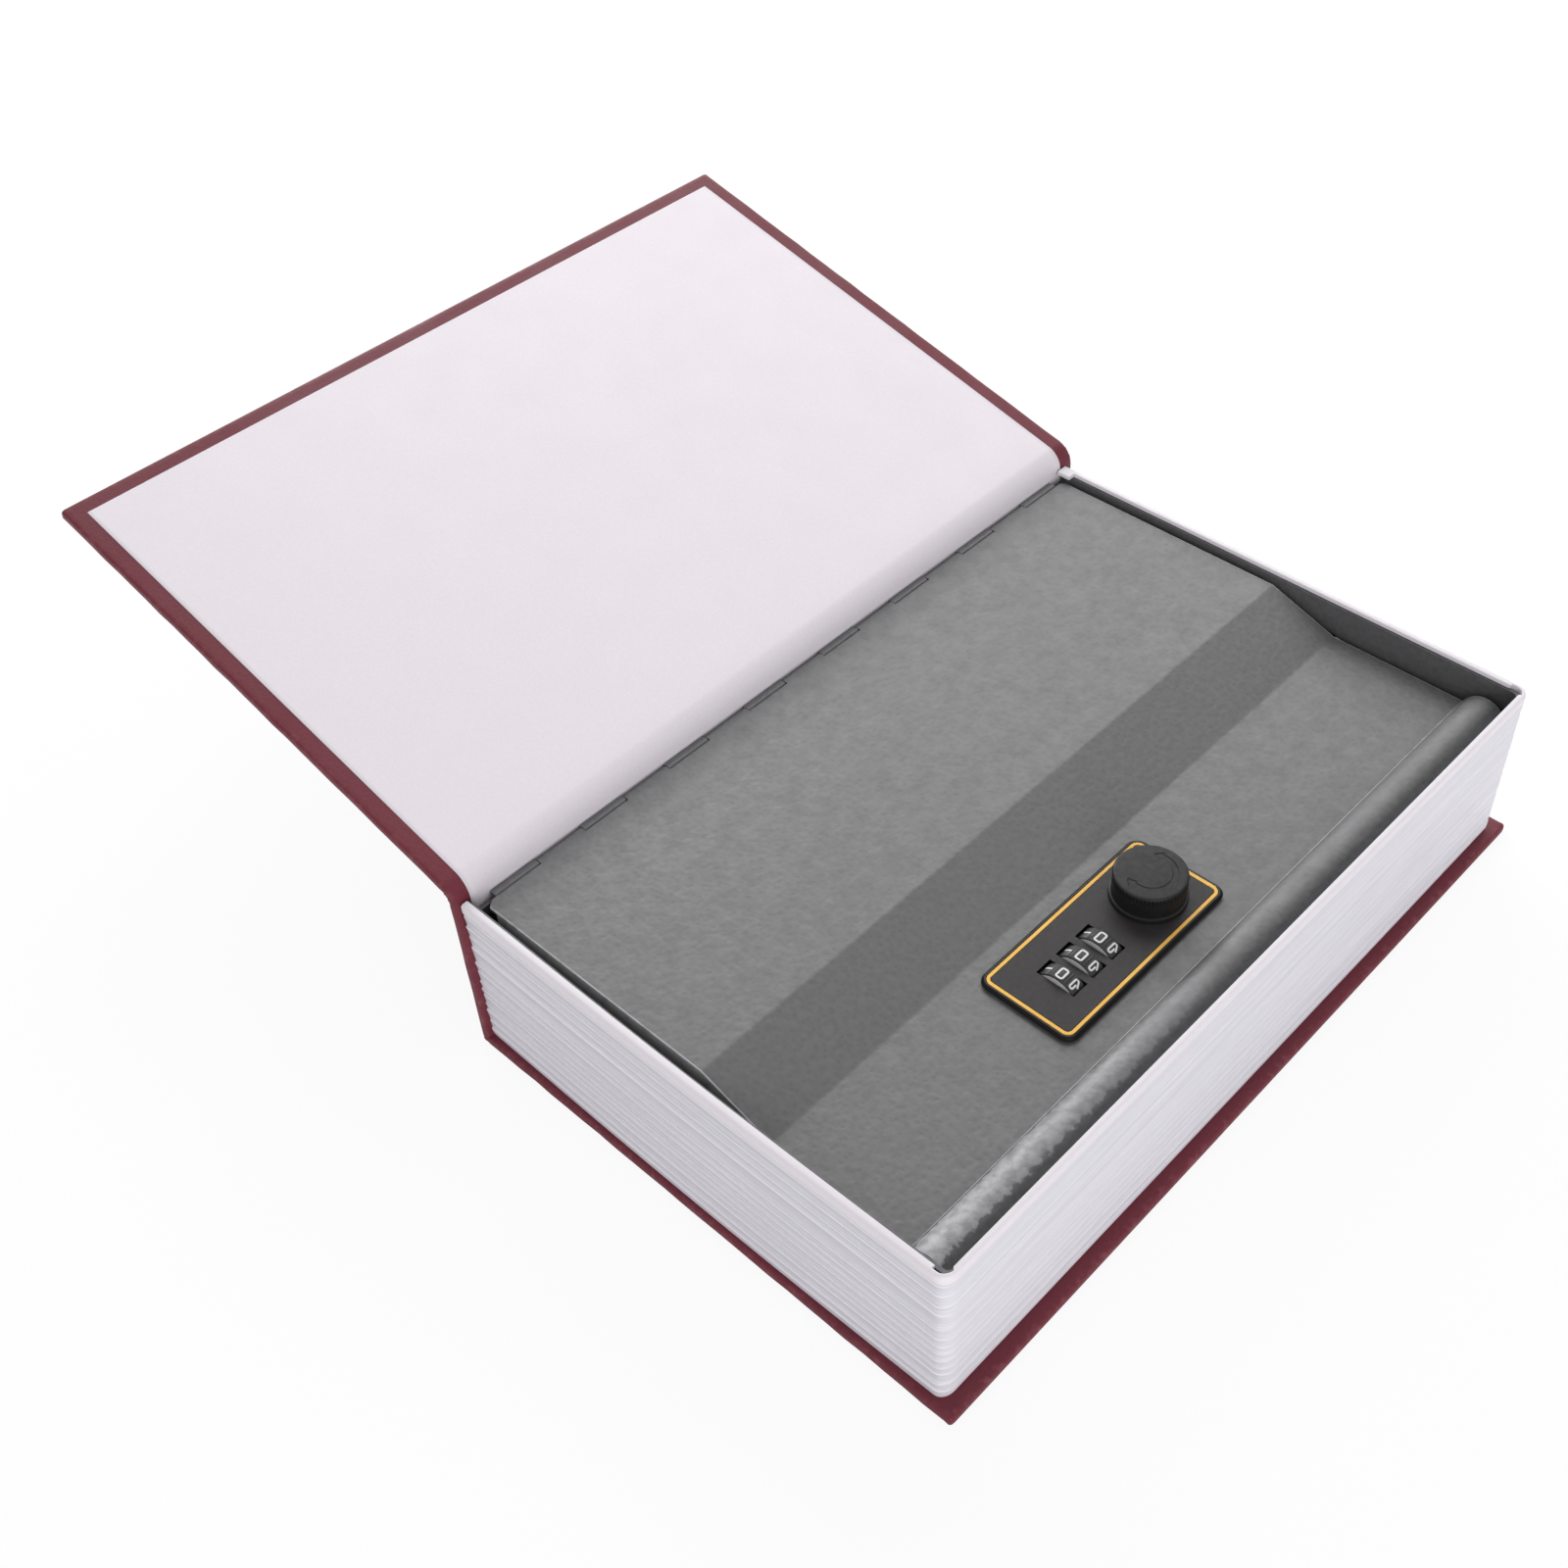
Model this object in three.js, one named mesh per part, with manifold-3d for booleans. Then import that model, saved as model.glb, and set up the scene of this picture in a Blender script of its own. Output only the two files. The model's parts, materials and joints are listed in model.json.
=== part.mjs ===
// Book safe: a hardcover case round a white page block that holds a steel box with a lid and a number lock.
// Millimetres, +Z up. X runs from the spine to the fore-edge, Y from the tail to the head of the book.
// The case lies on its back cover. The front cover is thrown open to the left, and the lid is closed.
// Positions are measured from the page block's spine end, its tail side and its underside.
import * as THREE from "three";
import { mergeVertices } from "three/addons/utils/BufferGeometryUtils.js";
import Module from "manifold-3d";

const wasm = await Module();
wasm.setup();

// Page block
const blockLength = 154;
const blockWidth = 234;
const blockHeight = 51;
const blockCorner = 3.6;
const blockWall = 1;
const rimBand = 3.4;
const rimRound = 0.7;
const lipReach = 0.75;
const lipHeight = 1.2;
const lipNotchLength = 4.1;
const lipNotchWidth = 2.4;
const ledgeHeight = 1.2;
const ledgeReach = 8;
const leafShares = [3.2, 3.5, 4.6, 2.4, 3.2, 3, 2.7, 3.9, 3.5, 6.2, 3.6, 4, 3.8];
const leafBevel = 0.5;
const leafStep = 0.3;

// Case boards, cloth and paper
const overhang = 3;
const boardThickness = 2.9;
const cloth = 0.5;
const paper = 0.4;
const turnIn = 15;
const edgeTurnIn = 5;
const spineGap = 0.1;
const spineTurnIn = 4.5;
const bendGap = 0.3;
const layerGap = 0.15;

// Front cover: closed it lies just over the block, and at rest it is open by coverOpening
const coverOpening = THREE.MathUtils.degToRad(165.8);
const coverClearance = 0.2;
const coverAxisX = -1.5;
const coverAxisBelowFace = 0.8;
const gutterRadius = 3.5;
const gutterLayerGap = 0.2;
const gutterPaperDrop = 1.1;

// Foil frame on the outside of the front cover
const frameLength = 76;
const frameWidth = 45.5;
const frameFromHead = 38.5;
const frameLine = 1;
const frameHeight = 0.15;
const frameGap = 0.05;

// Steel box
const steel = 1;
const boxSideGap = 0.3;
const boxTopGap = 0.2;

// Hinge between box and lid
const hingeRadius = 1;
const hingeTopDrop = 2.4;
const pinRadius = 0.5;
const pinGap = 0.15;
const tabCount = 8;
const tabLength = 14.1;
const tabMargin = 7.4;
const tabGap = 0.25;

// Lid
const lidMargin = 4.3;
const lidCorner = 1.6;
const lidForeGap = 3.2;
const slopeRun = 21.4;
const slopeDrop = 7.4;
const slopeBend = 3;
const lipLength = 12.1;
const lipRise = 4.4;
const lipSkirt = 8.1;
const flangeDepth = 6;
const flangeSetBack = 3.65;
const flangeLipGap = 0.7;

// Lock plate
const plateBeforeLip = 21.3;
const plateAfterSlope = 18.8;
const plateCentreY = 99.3;
const plateEndRoom = 14;
const plateWidth = 28.2;
const plateHeight = 1.6;
const plateCorner = 3.4;
const plateEdge = 0.7;
const borderInset = 1.1;
const borderLine = 1.2;
const borderDepth = 0.3;
const windowLength = 11.2;
const windowWidth = 5.2;

// Lock case
const caseWidth = 22;
const caseTailWall = 6.2;
const caseRoundKnob = 7.2;
const caseDepth = 11.6;
const caseGap = 0.2;
const wheelRoomGap = 0.4;
const springRoom = 3;

// Number wheels: the first wheel and the knob stand lockReach to each side of the plate's centre
const lockReach = 17.3;
const wheelOffset = 0.7;
const wheelPitch = 7.37;
const wheelCount = 3;
const wheelRadius = 6.7;
const wheelWidth = 4.4;
const wheelDrop = 3.4;
const wheelEdge = 0.25;
const wheelNumbers = 10;
const wheelGroove = 0.35;
const codeDiscRadius = 3;
const codeDiscWidth = 1.4;
const wheelBossRadius = 2.1;
const wheelBossWidth = 1.2;
const gateWidth = 1;
const gateDepth = 0.8;
const axleRadius = 1.25;
const axleEnd = 3;
const runningGap = 0.2;

// Detent spring
const springSheet = 0.4;
const springGap = 0.3;
const springHeight = 6;
const springFinger = 2.4;

// Screws of the lock plate
const screwInset = 2.5;
const screwBossRadius = 1.7;
const screwBossDrop = 1.2;
const screwShank = 0.8;
const screwHeadRadius = 2.2;
const screwHeadHeight = 1.4;
const screwSlot = 0.6;
const screwReach = 0.5;

// Knob, spindle and cam
const knobOffset = 0.2;
const knobGap = 0.2;
const knobFlangeRadius = 9.8;
const knobFlangeHeight = 1.2;
const knobNeck = 0.3;
const knobRadius = 9.25;
const knobHeight = 7.8;
const knobDome = 0.2;
const knobDomeShare = 0.75;
const knobTopRound = 0.6;
const knobTeeth = 60;
const knobTooth = 0.3;
const arrowRadius = 6;
const arrowLine = 1.5;
const arrowDepth = 0.25;
const arrowHead = 1.7;
const arrowHeadLength = 3;
const arrowSweep = THREE.MathUtils.degToRad(97);
const spindleRadius = 3;
const spindleGap = 0.2;
const spindleInKnob = 5;
const squareSide = 4.2;
const squareGap = 0.15;
const threadRadius = 1.9;
const threadEnd = 0.6;
const washerRadius = 5;
const washerHeight = 0.5;
const washerGap = 0.2;
const camThickness = 1.5;
const camReach = 32.3;
const camRoot = 6;
const camTip = 4;
const nutAcross = 7;
const nutHeight = 2.4;
const nutSides = 6;

// Keeper on the fore wall
const keeperLength = 20;
const keeperReach = 8.8;
const keeperSheet = 1.2;
const keeperGap = 0.5;
const keeperLeg = 9;

// Roundness
const fineSides = 40;
const rodSides = 20;
const cornerSteps = 6;
const bendSteps = 8;
const lipSteps = 14;
const weld = 1e-4;
const through = 1;

// Derived heights and planes
const hingeX = spineGap + hingeRadius;
const lidTop = blockHeight - hingeTopDrop;
const hingeZ = lidTop - hingeRadius;
const lidTail = lidMargin;
const lidHead = blockWidth - lidMargin;
const lipFront = blockLength - lidForeGap;
const lipStart = lipFront - lipLength;
const plateCentreX = lipStart - plateBeforeLip;
const plateLength = 2 * (lockReach + plateEndRoom);
const slopeEnd = plateCentreX - plateAfterSlope;
const slopeStart = slopeEnd - slopeRun;
const flangeEnd = lipStart - flangeLipGap;
const flatTop = lidTop - slopeDrop;
const plateTop = flatTop + plateHeight;
const wheelX = plateCentreX + wheelOffset;
const wheelZ = flatTop - wheelDrop;
const firstWheelY = plateCentreY - lockReach;
const knobX = plateCentreX + knobOffset;
const knobY = plateCentreY + lockReach;
const caseTail = firstWheelY - wheelWidth / 2 - wheelRoomGap - caseTailWall;
const caseHead = knobY + caseRoundKnob;
const tabPitch = (blockWidth - 2 * tabMargin - tabLength) / (tabCount - 1);
const caseBottom = flatTop - caseDepth;
const camTop = caseBottom - washerHeight - washerGap;
const camBottom = camTop - camThickness;
const boxHead = blockWidth - blockWall - boxSideGap;
const boxTail = blockWall + boxSideGap;
const boxFore = blockLength - blockWall - boxSideGap;
const boxTop = blockHeight - lipHeight - boxTopGap;
const knuckleFloor = hingeZ - hingeRadius - tabGap;
const coverInner = blockHeight + coverClearance;
const coverOuter = coverInner + boardThickness;
const coverAxisZ = coverOuter - coverAxisBelowFace;
const coverLean = Math.PI - coverOpening;
const spineInner = -spineGap;
const spineOuter = spineInner - boardThickness;
const gutter = gutterCentre();
const spineTop = gutter.z - bendGap;
const coverStart = coverAxisX + gutter.run + bendGap;

// The bend of the gutter touches the spine's outer face and the open cover's outer face.
function gutterCentre() {
  const x = spineOuter - gutterRadius;
  const normal = [Math.sin(coverLean), Math.cos(coverLean)];
  const axisAlong = coverAxisX * normal[0] + coverAxisZ * normal[1];
  const centreAlong = axisAlong - coverAxisBelowFace - gutterRadius;
  const z = (centreAlong - x * normal[0]) / normal[1];
  const run = (coverAxisX - x) * normal[1] + (z - coverAxisZ) * normal[0];
  return { x, z, run };
}

// Solids
function solid(geometry) {
  const plain = geometry.index ? geometry.toNonIndexed() : geometry.clone();
  plain.deleteAttribute("normal");
  plain.deleteAttribute("uv");
  const merged = mergeVertices(plain, weld);
  return new wasm.Manifold(
    new wasm.Mesh({
      numProp: 3,
      vertProperties: merged.attributes.position.array,
      triVerts: new Uint32Array(merged.index.array),
    }),
  );
}

function geometryOf(body) {
  const mesh = body.getMesh();
  const geometry = new THREE.BufferGeometry();
  geometry.setAttribute("position", new THREE.BufferAttribute(mesh.vertProperties, mesh.numProp));
  geometry.setIndex(new THREE.BufferAttribute(mesh.triVerts, 1));
  geometry.computeVertexNormals();
  return geometry;
}

function joined(bodies) {
  return bodies.reduce((sum, body) => sum.add(body));
}

function cut(body, tools) {
  return tools.reduce((left, tool) => left.subtract(tool), body);
}

function slab(low, high) {
  const size = high.map((value, axis) => value - low[axis]);
  const middle = high.map((value, axis) => (value + low[axis]) / 2);
  return solid(new THREE.BoxGeometry(...size).translate(...middle));
}

function shapeOf(points) {
  return new THREE.Shape(points.map(([x, y]) => new THREE.Vector2(x, y)));
}

function upward(shape, low, high) {
  const options = { depth: high - low, bevelEnabled: false, curveSegments: cornerSteps };
  return solid(new THREE.ExtrudeGeometry(shape, options).translate(0, 0, low));
}

function bevelled(shape, low, high, bevel, segments) {
  const options = {
    depth: high - low - 2 * bevel,
    bevelEnabled: true,
    bevelSize: bevel,
    bevelThickness: bevel,
    bevelOffset: -bevel,
    bevelSegments: segments,
    curveSegments: cornerSteps,
  };
  return solid(new THREE.ExtrudeGeometry(shape, options).translate(0, 0, low + bevel));
}

// A shape drawn in X and Z, carried along Y.
function alongWidth(shape, tail, head) {
  const options = { depth: head - tail, bevelEnabled: false, curveSegments: cornerSteps };
  const geometry = new THREE.ExtrudeGeometry(shape, options).rotateX(Math.PI / 2);
  return solid(geometry.translate(0, head, 0));
}

function rod(radius, tail, head, x, z, sides = rodSides) {
  const geometry = new THREE.CylinderGeometry(radius, radius, head - tail, sides);
  return solid(geometry.translate(x, (tail + head) / 2, z));
}

function post(radius, low, high, x, y, sides = rodSides) {
  const geometry = new THREE.CylinderGeometry(radius, radius, high - low, sides);
  return solid(geometry.rotateX(Math.PI / 2).translate(x, y, (low + high) / 2));
}

function roundedRectangle(left, right, low, high, radius) {
  const shape = new THREE.Shape();
  shape.absarc(right - radius, low + radius, radius, -Math.PI / 2, 0);
  shape.absarc(right - radius, high - radius, radius, 0, Math.PI / 2);
  shape.absarc(left + radius, high - radius, radius, Math.PI / 2, Math.PI);
  shape.absarc(left + radius, low + radius, radius, Math.PI, Math.PI * 1.5);
  return shape;
}

// A plan with square corners at the spine and round corners at the fore-edge.
function bookPlan(spineX, foreX, tail, head, radius) {
  const shape = new THREE.Shape();
  shape.moveTo(spineX, tail);
  shape.lineTo(foreX - radius, tail);
  shape.absarc(foreX - radius, tail + radius, radius, -Math.PI / 2, 0);
  shape.absarc(foreX - radius, head - radius, radius, 0, Math.PI / 2);
  shape.lineTo(spineX, head);
  return shape;
}

// A line with its corners rounded: each point is [x, z, radius].
function roundedLine(points) {
  const corners = points.map(([x, z]) => new THREE.Vector2(x, z));
  const line = [corners[0]];
  for (let i = 1; i < points.length - 1; i += 1) {
    const back = corners[i - 1].clone().sub(corners[i]).normalize();
    const ahead = corners[i + 1].clone().sub(corners[i]).normalize();
    const half = Math.acos(back.dot(ahead)) / 2;
    const run = points[i][2] / Math.tan(half);
    const middle = back.clone().add(ahead).normalize();
    const centre = corners[i].clone().addScaledVector(middle, points[i][2] / Math.sin(half));
    const start = corners[i].clone().addScaledVector(back, run).sub(centre);
    const turn = (Math.PI - 2 * half) * Math.sign(back.cross(ahead));
    for (let step = 0; step <= bendSteps; step += 1) {
      const spoke = start.clone().rotateAround(new THREE.Vector2(), (-turn * step) / bendSteps);
      line.push(centre.clone().add(spoke));
    }
  }
  line.push(corners[corners.length - 1]);
  return line;
}

// The outline of a sheet whose upper side follows the line from left to right.
function sheetShape(line, thickness) {
  const under = line.map((point, i) => {
    const back = point.clone().sub(line[Math.max(i - 1, 0)]).normalize();
    const ahead = line[Math.min(i + 1, line.length - 1)].clone().sub(point).normalize();
    const before = i === 0 ? ahead : back;
    const after = i === line.length - 1 ? back : ahead;
    const middle = before.clone().add(after).normalize();
    const reach = thickness / middle.dot(before);
    return new THREE.Vector2(point.x + middle.y * reach, point.y - middle.x * reach);
  });
  return new THREE.Shape([...under, ...[...line].reverse()]);
}

// Page block: each share is the height of one bundle of leaves, from the bottom up
function leafHeights() {
  const total = leafShares.reduce((sum, share) => sum + share);
  return leafShares.map((share) => (share / total) * (blockHeight - rimBand));
}

function leaves() {
  const plates = [];
  let low = 0;
  leafHeights().forEach((height, i) => {
    const inset = leafStep * (i % 2);
    const plan = bookPlan(inset, blockLength - inset, inset, blockWidth - inset, blockCorner);
    plates.push(bevelled(plan, low, low + height, leafBevel, 1));
    low += height;
  });
  const rim = bookPlan(0, blockLength, 0, blockWidth, blockCorner);
  plates.push(bevelled(rim, low, blockHeight, rimRound, 2));
  return joined(plates);
}

function cavityPlan(gap) {
  const fore = blockLength - blockWall - gap;
  const plan = [spineInner - through, fore, blockWall + gap, blockWidth - blockWall - gap];
  return bookPlan(...plan, blockCorner - blockWall - gap);
}

function pageBlock() {
  const lipBottom = blockHeight - lipHeight;
  const room = upward(cavityPlan(0), ledgeHeight, lipBottom);
  const mouth = upward(cavityPlan(lipReach), lipBottom, blockHeight + through);
  const open = upward(cavityPlan(0), lipBottom, blockHeight + through);
  const notchX = blockLength - blockWall - lipNotchLength;
  const notch = (tail, head) => {
    const low = [notchX, tail, lipBottom];
    return open.intersect(slab(low, [blockLength, head, blockHeight + through]));
  };
  const notchTail = notch(0, blockWall + lipNotchWidth);
  const notchHead = notch(blockWidth - blockWall - lipNotchWidth, blockWidth);
  const floorLow = [ledgeReach, ledgeReach, -through];
  const floorHigh = [blockLength - ledgeReach, blockWidth - ledgeReach, ledgeHeight];
  return cut(leaves(), [room, mouth, notchTail, notchHead, slab(floorLow, floorHigh)]);
}

// Case
const caseTailEdge = -overhang;
const caseHeadEdge = blockWidth + overhang;
const caseForeEdge = blockLength + overhang;
const backUnder = -boardThickness;
const spineWeb = cloth - spineGap;

function backBoardBox(side, low, high) {
  return [
    [spineWeb, caseTailEdge + side, low],
    [caseForeEdge - side, caseHeadEdge - side, high],
  ];
}

function backBoard() {
  return slab(...backBoardBox(cloth, backUnder + cloth, -cloth));
}

function backLiner() {
  return slab(...backBoardBox(turnIn, -cloth, 0));
}

function spineBoardBox(top) {
  return [
    [spineOuter + cloth, caseTailEdge + cloth, backUnder + cloth],
    [spineInner - cloth, caseHeadEdge - cloth, top],
  ];
}

function spineBoard() {
  return slab(...spineBoardBox(spineTop));
}

function caseCloth() {
  const back = slab([spineOuter, caseTailEdge, backUnder], [caseForeEdge, caseHeadEdge, 0]);
  const spine = slab([spineOuter, caseTailEdge, 0], [spineInner, caseHeadEdge, spineTop]);
  const innerLow = [spineInner - cloth, caseTailEdge + spineTurnIn, spineWeb];
  const innerHigh = [0, caseHeadEdge - spineTurnIn, spineTop + through];
  return cut(back.add(spine), [
    backBoard(),
    slab(...backBoardBox(turnIn, -cloth, through)),
    slab(...spineBoardBox(spineTop + through)),
    slab(innerLow, innerHigh),
  ]);
}

// Gutter: the strip that bends between spine and front cover
function gutterArc(radius) {
  const steps = 2 * cornerSteps;
  return Array.from({ length: steps + 1 }, (_, i) => {
    const angle = ((Math.PI / 2 - coverLean) * i) / steps;
    return [gutter.x + radius * Math.cos(angle), gutter.z + radius * Math.sin(angle)];
  });
}

function gutterCloth() {
  const outer = gutterArc(gutterRadius + boardThickness - paper - gutterLayerGap);
  const inner = gutterArc(gutterRadius).reverse();
  return alongWidth(shapeOf([...outer, ...inner]), caseTailEdge, caseHeadEdge);
}

function gutterEndpaper() {
  const outer = gutterArc(gutterRadius + boardThickness);
  const inner = gutterArc(gutterRadius + boardThickness - paper).reverse();
  const foot = gutter.z - gutterPaperDrop;
  const points = [[spineInner, foot], ...outer, ...inner, [spineInner - paper, foot]];
  const tail = caseTailEdge + edgeTurnIn;
  return alongWidth(shapeOf(points), tail, caseHeadEdge - edgeTurnIn);
}

// Front cover, in its closed place
function coverBox(side, low, high) {
  return [
    [coverStart, caseTailEdge + side, low],
    [caseForeEdge - side, caseHeadEdge - side, high],
  ];
}

function frontCloth() {
  const whole = slab(...coverBox(0, coverInner, coverOuter));
  const [pocketLow, pocketHigh] = coverBox(cloth, coverInner + cloth, coverOuter - cloth);
  const [mouthLow, mouthHigh] = coverBox(edgeTurnIn, coverInner - through, coverInner + cloth);
  pocketLow[0] -= through;
  mouthLow[0] -= through;
  return cut(whole, [slab(pocketLow, pocketHigh), slab(mouthLow, mouthHigh)]);
}

function frontBoard() {
  const inset = cloth + layerGap;
  return slab(...coverBox(inset, coverInner + inset, coverOuter - inset));
}

function frontEndpaper() {
  return slab(...coverBox(edgeTurnIn + layerGap, coverInner, coverInner + paper));
}

function foilFrame() {
  const left = (spineOuter + caseForeEdge - frameLength) / 2;
  const head = caseHeadEdge - frameFromHead;
  const low = coverOuter + frameGap;
  const ring = (inset, from, to) =>
    slab(
      [left + inset, head - frameWidth + inset, from],
      [left + frameLength - inset, head - inset, to],
    );
  return ring(0, low, low + frameHeight).subtract(ring(frameLine, coverOuter, low + through));
}

// Hinge
function tabStart(index) {
  return tabMargin + index * tabPitch;
}

function knuckle(tail, head, webLow, webHigh) {
  return rod(hingeRadius, tail, head, hingeX, hingeZ).add(slab(webLow, webHigh));
}

function bodyKnuckles() {
  return Array.from({ length: tabCount }, (_, i) => {
    const tail = tabStart(i);
    const head = tail + tabLength;
    const low = [spineGap, tail, knuckleFloor - tabGap];
    return knuckle(tail, head, low, [spineGap + steel, head, hingeZ]);
  });
}

function lidKnuckles() {
  return Array.from({ length: tabCount - 1 }, (_, i) => {
    const tail = tabStart(i) + tabLength + tabGap;
    const head = tabStart(i + 1) - tabGap;
    const low = [hingeX, tail, lidTop - steel];
    return knuckle(tail, head, low, [lidEdge() + lidCorner, head, lidTop]);
  });
}

function lidEdge() {
  return hingeX + hingeRadius + tabGap;
}

function hingeBore() {
  return rod(pinRadius + pinGap, 0, blockWidth, hingeX, hingeZ);
}

function hingePin() {
  return rod(pinRadius, tabStart(0), tabStart(tabCount - 1) + tabLength, hingeX, hingeZ);
}

// Steel box
function steelBox() {
  const corner = blockCorner - blockWall - boxSideGap;
  const plan = bookPlan(spineGap, boxFore, boxTail, boxHead, corner);
  const room = bookPlan(
    spineGap + steel,
    boxFore - steel,
    boxTail + steel,
    boxHead - steel,
    corner - steel,
  );
  const tray = upward(plan, ledgeHeight, boxTop).subtract(
    upward(room, ledgeHeight + steel, boxTop + through),
  );
  const hingeRoomLow = [0, boxTail + steel, knuckleFloor];
  const hingeRoomHigh = [spineGap + steel, boxHead - steel, boxTop + through];
  const open = tray.subtract(slab(hingeRoomLow, hingeRoomHigh));
  return joined([open, ...bodyKnuckles()]).subtract(hingeBore());
}

function keeper() {
  const wall = boxFore - steel;
  const low = camTop + keeperGap;
  const tail = knobY - keeperLength / 2;
  const head = knobY + keeperLength / 2;
  const catchPlate = slab([wall - keeperReach, tail, low], [wall, head, low + keeperSheet]);
  const leg = slab([wall - keeperSheet, tail, low - keeperLeg], [wall, head, low + keeperSheet]);
  return catchPlate.add(leg);
}

// Lid
// The lip is an arc over the flat, from its start to its front.
function lipArc() {
  const half = lipLength / 2;
  const radius = (half * half + lipRise * lipRise) / (2 * lipRise);
  const lean = Math.asin(half / radius);
  const centre = new THREE.Vector2(lipStart + half, flatTop + lipRise - radius);
  return Array.from({ length: lipSteps }, (_, i) => {
    const angle = lean * ((2 * (i + 1)) / lipSteps - 1);
    const spoke = new THREE.Vector2(Math.sin(angle), Math.cos(angle));
    return spoke.multiplyScalar(radius).add(centre);
  });
}

function lidLine() {
  const flats = roundedLine([
    [lidEdge(), lidTop],
    [slopeStart, lidTop, slopeBend],
    [slopeEnd, flatTop, slopeBend],
    [lipStart, flatTop],
  ]);
  return [...flats, ...lipArc(), new THREE.Vector2(lipFront, flatTop + lipRise - lipSkirt)];
}

function lidFlange(tail, head) {
  const line = lidLine().filter((point) => point.x <= flangeEnd);
  const top = [new THREE.Vector2(lidEdge() + flangeSetBack, lidTop), ...line.slice(1)];
  top.push(new THREE.Vector2(flangeEnd, flatTop));
  const low = top.map((point) => new THREE.Vector2(point.x, point.y - flangeDepth)).reverse();
  return alongWidth(new THREE.Shape([...top, ...low]), tail, head);
}

function lidCornerCut(y, inward) {
  const edge = lidEdge();
  const points = [
    [edge - through, y - inward * through],
    [edge + lidCorner, y - inward * through],
    [edge + lidCorner, y],
    [edge, y + inward * lidCorner],
    [edge - through, y + inward * lidCorner],
  ];
  return upward(shapeOf(points), lidTop - steel - through, lidTop + through);
}

function lidPanel() {
  const sheet = alongWidth(sheetShape(lidLine(), steel), lidTail, lidHead);
  const flanges = [
    lidFlange(lidTail, lidTail + steel),
    lidFlange(lidHead - steel, lidHead),
  ];
  const cutFloor = flatTop - steel - through;
  const caseHole = slab(
    [plateCentreX - caseWidth / 2 - caseGap, caseTail - caseGap, cutFloor],
    [plateCentreX + caseWidth / 2 + caseGap, caseHead + caseGap, flatTop + through],
  );
  const bossHoles = screwPlaces().map((y) =>
    post(screwBossRadius + caseGap, cutFloor, flatTop + through, plateCentreX, y),
  );
  return cut(joined([sheet, ...flanges, ...lidKnuckles()]), [
    caseHole,
    ...bossHoles,
    lidCornerCut(lidTail, 1),
    lidCornerCut(lidHead, -1),
    hingeBore(),
  ]);
}

// Lock plate
function plateEnds() {
  return [plateCentreY - plateLength / 2, plateCentreY + plateLength / 2];
}

function screwPlaces() {
  const [tail, head] = plateEnds();
  return [tail + screwInset, head - screwInset];
}

function plateOutline(inset) {
  const [tail, head] = plateEnds();
  const half = plateWidth / 2 - inset;
  return roundedRectangle(
    plateCentreX - half,
    plateCentreX + half,
    tail + inset,
    head - inset,
    plateCorner - inset,
  );
}

function wheelPlaces() {
  return Array.from({ length: wheelCount }, (_, i) => firstWheelY + i * wheelPitch);
}

function borderRing(side, low, high) {
  const outer = upward(plateOutline(borderInset + side), low, high);
  const inner = upward(plateOutline(borderInset + borderLine - side), low - through, high + through);
  return outer.subtract(inner);
}

function borderLineRing() {
  return borderRing(frameGap, plateTop - borderDepth, plateTop);
}

function windowCut(y) {
  const half = windowLength / 2;
  const tail = y - windowWidth / 2;
  const head = y + windowWidth / 2;
  const hole = slab(
    [wheelX - half, tail, flatTop - through],
    [wheelX + half, head, plateTop + through],
  );
  return hole.add(rod(wheelRadius + springGap, tail, head, wheelX, wheelZ, fineSides));
}

function lockPlate() {
  const face = bevelled(plateOutline(0), flatTop, plateTop, plateEdge, 1);
  const bosses = screwPlaces().map((y) =>
    post(screwBossRadius, flatTop - screwBossDrop, plateTop - borderDepth, plateCentreX, y),
  );
  const holeRadius = screwShank + runningGap / 2;
  const holeLow = flatTop - screwBossDrop - through;
  const screwHoles = screwPlaces().map((y) =>
    post(holeRadius, holeLow, flatTop + screwReach, plateCentreX, y),
  );
  return cut(joined([face, ...bosses]), [
    borderRing(0, plateTop - borderDepth, plateTop + through),
    ...wheelPlaces().map(windowCut),
    ...screwHoles,
    post(spindleRadius + spindleGap, flatTop - through, plateTop + through, knobX, knobY),
  ]);
}

function lockScrew(y) {
  const headTop = flatTop - screwBossDrop;
  const headBottom = headTop - screwHeadHeight;
  const slot = slab(
    [plateCentreX - screwHeadRadius, y - screwSlot / 2, headBottom - through],
    [plateCentreX + screwHeadRadius, y + screwSlot / 2, headBottom + screwSlot],
  );
  const head = post(screwHeadRadius, headBottom, headTop, plateCentreX, y).subtract(slot);
  const shankTop = flatTop + screwReach - runningGap;
  return head.add(post(screwShank, headTop - screwSlot, shankTop, plateCentreX, y));
}

// Lock case and wheels
function wheelRoom() {
  const tail = firstWheelY - wheelWidth / 2 - wheelRoomGap;
  const last = wheelPlaces()[wheelCount - 1];
  const head = last + wheelWidth / 2 + codeDiscWidth + wheelBossWidth + wheelRoomGap;
  return { tail, head };
}

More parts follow.
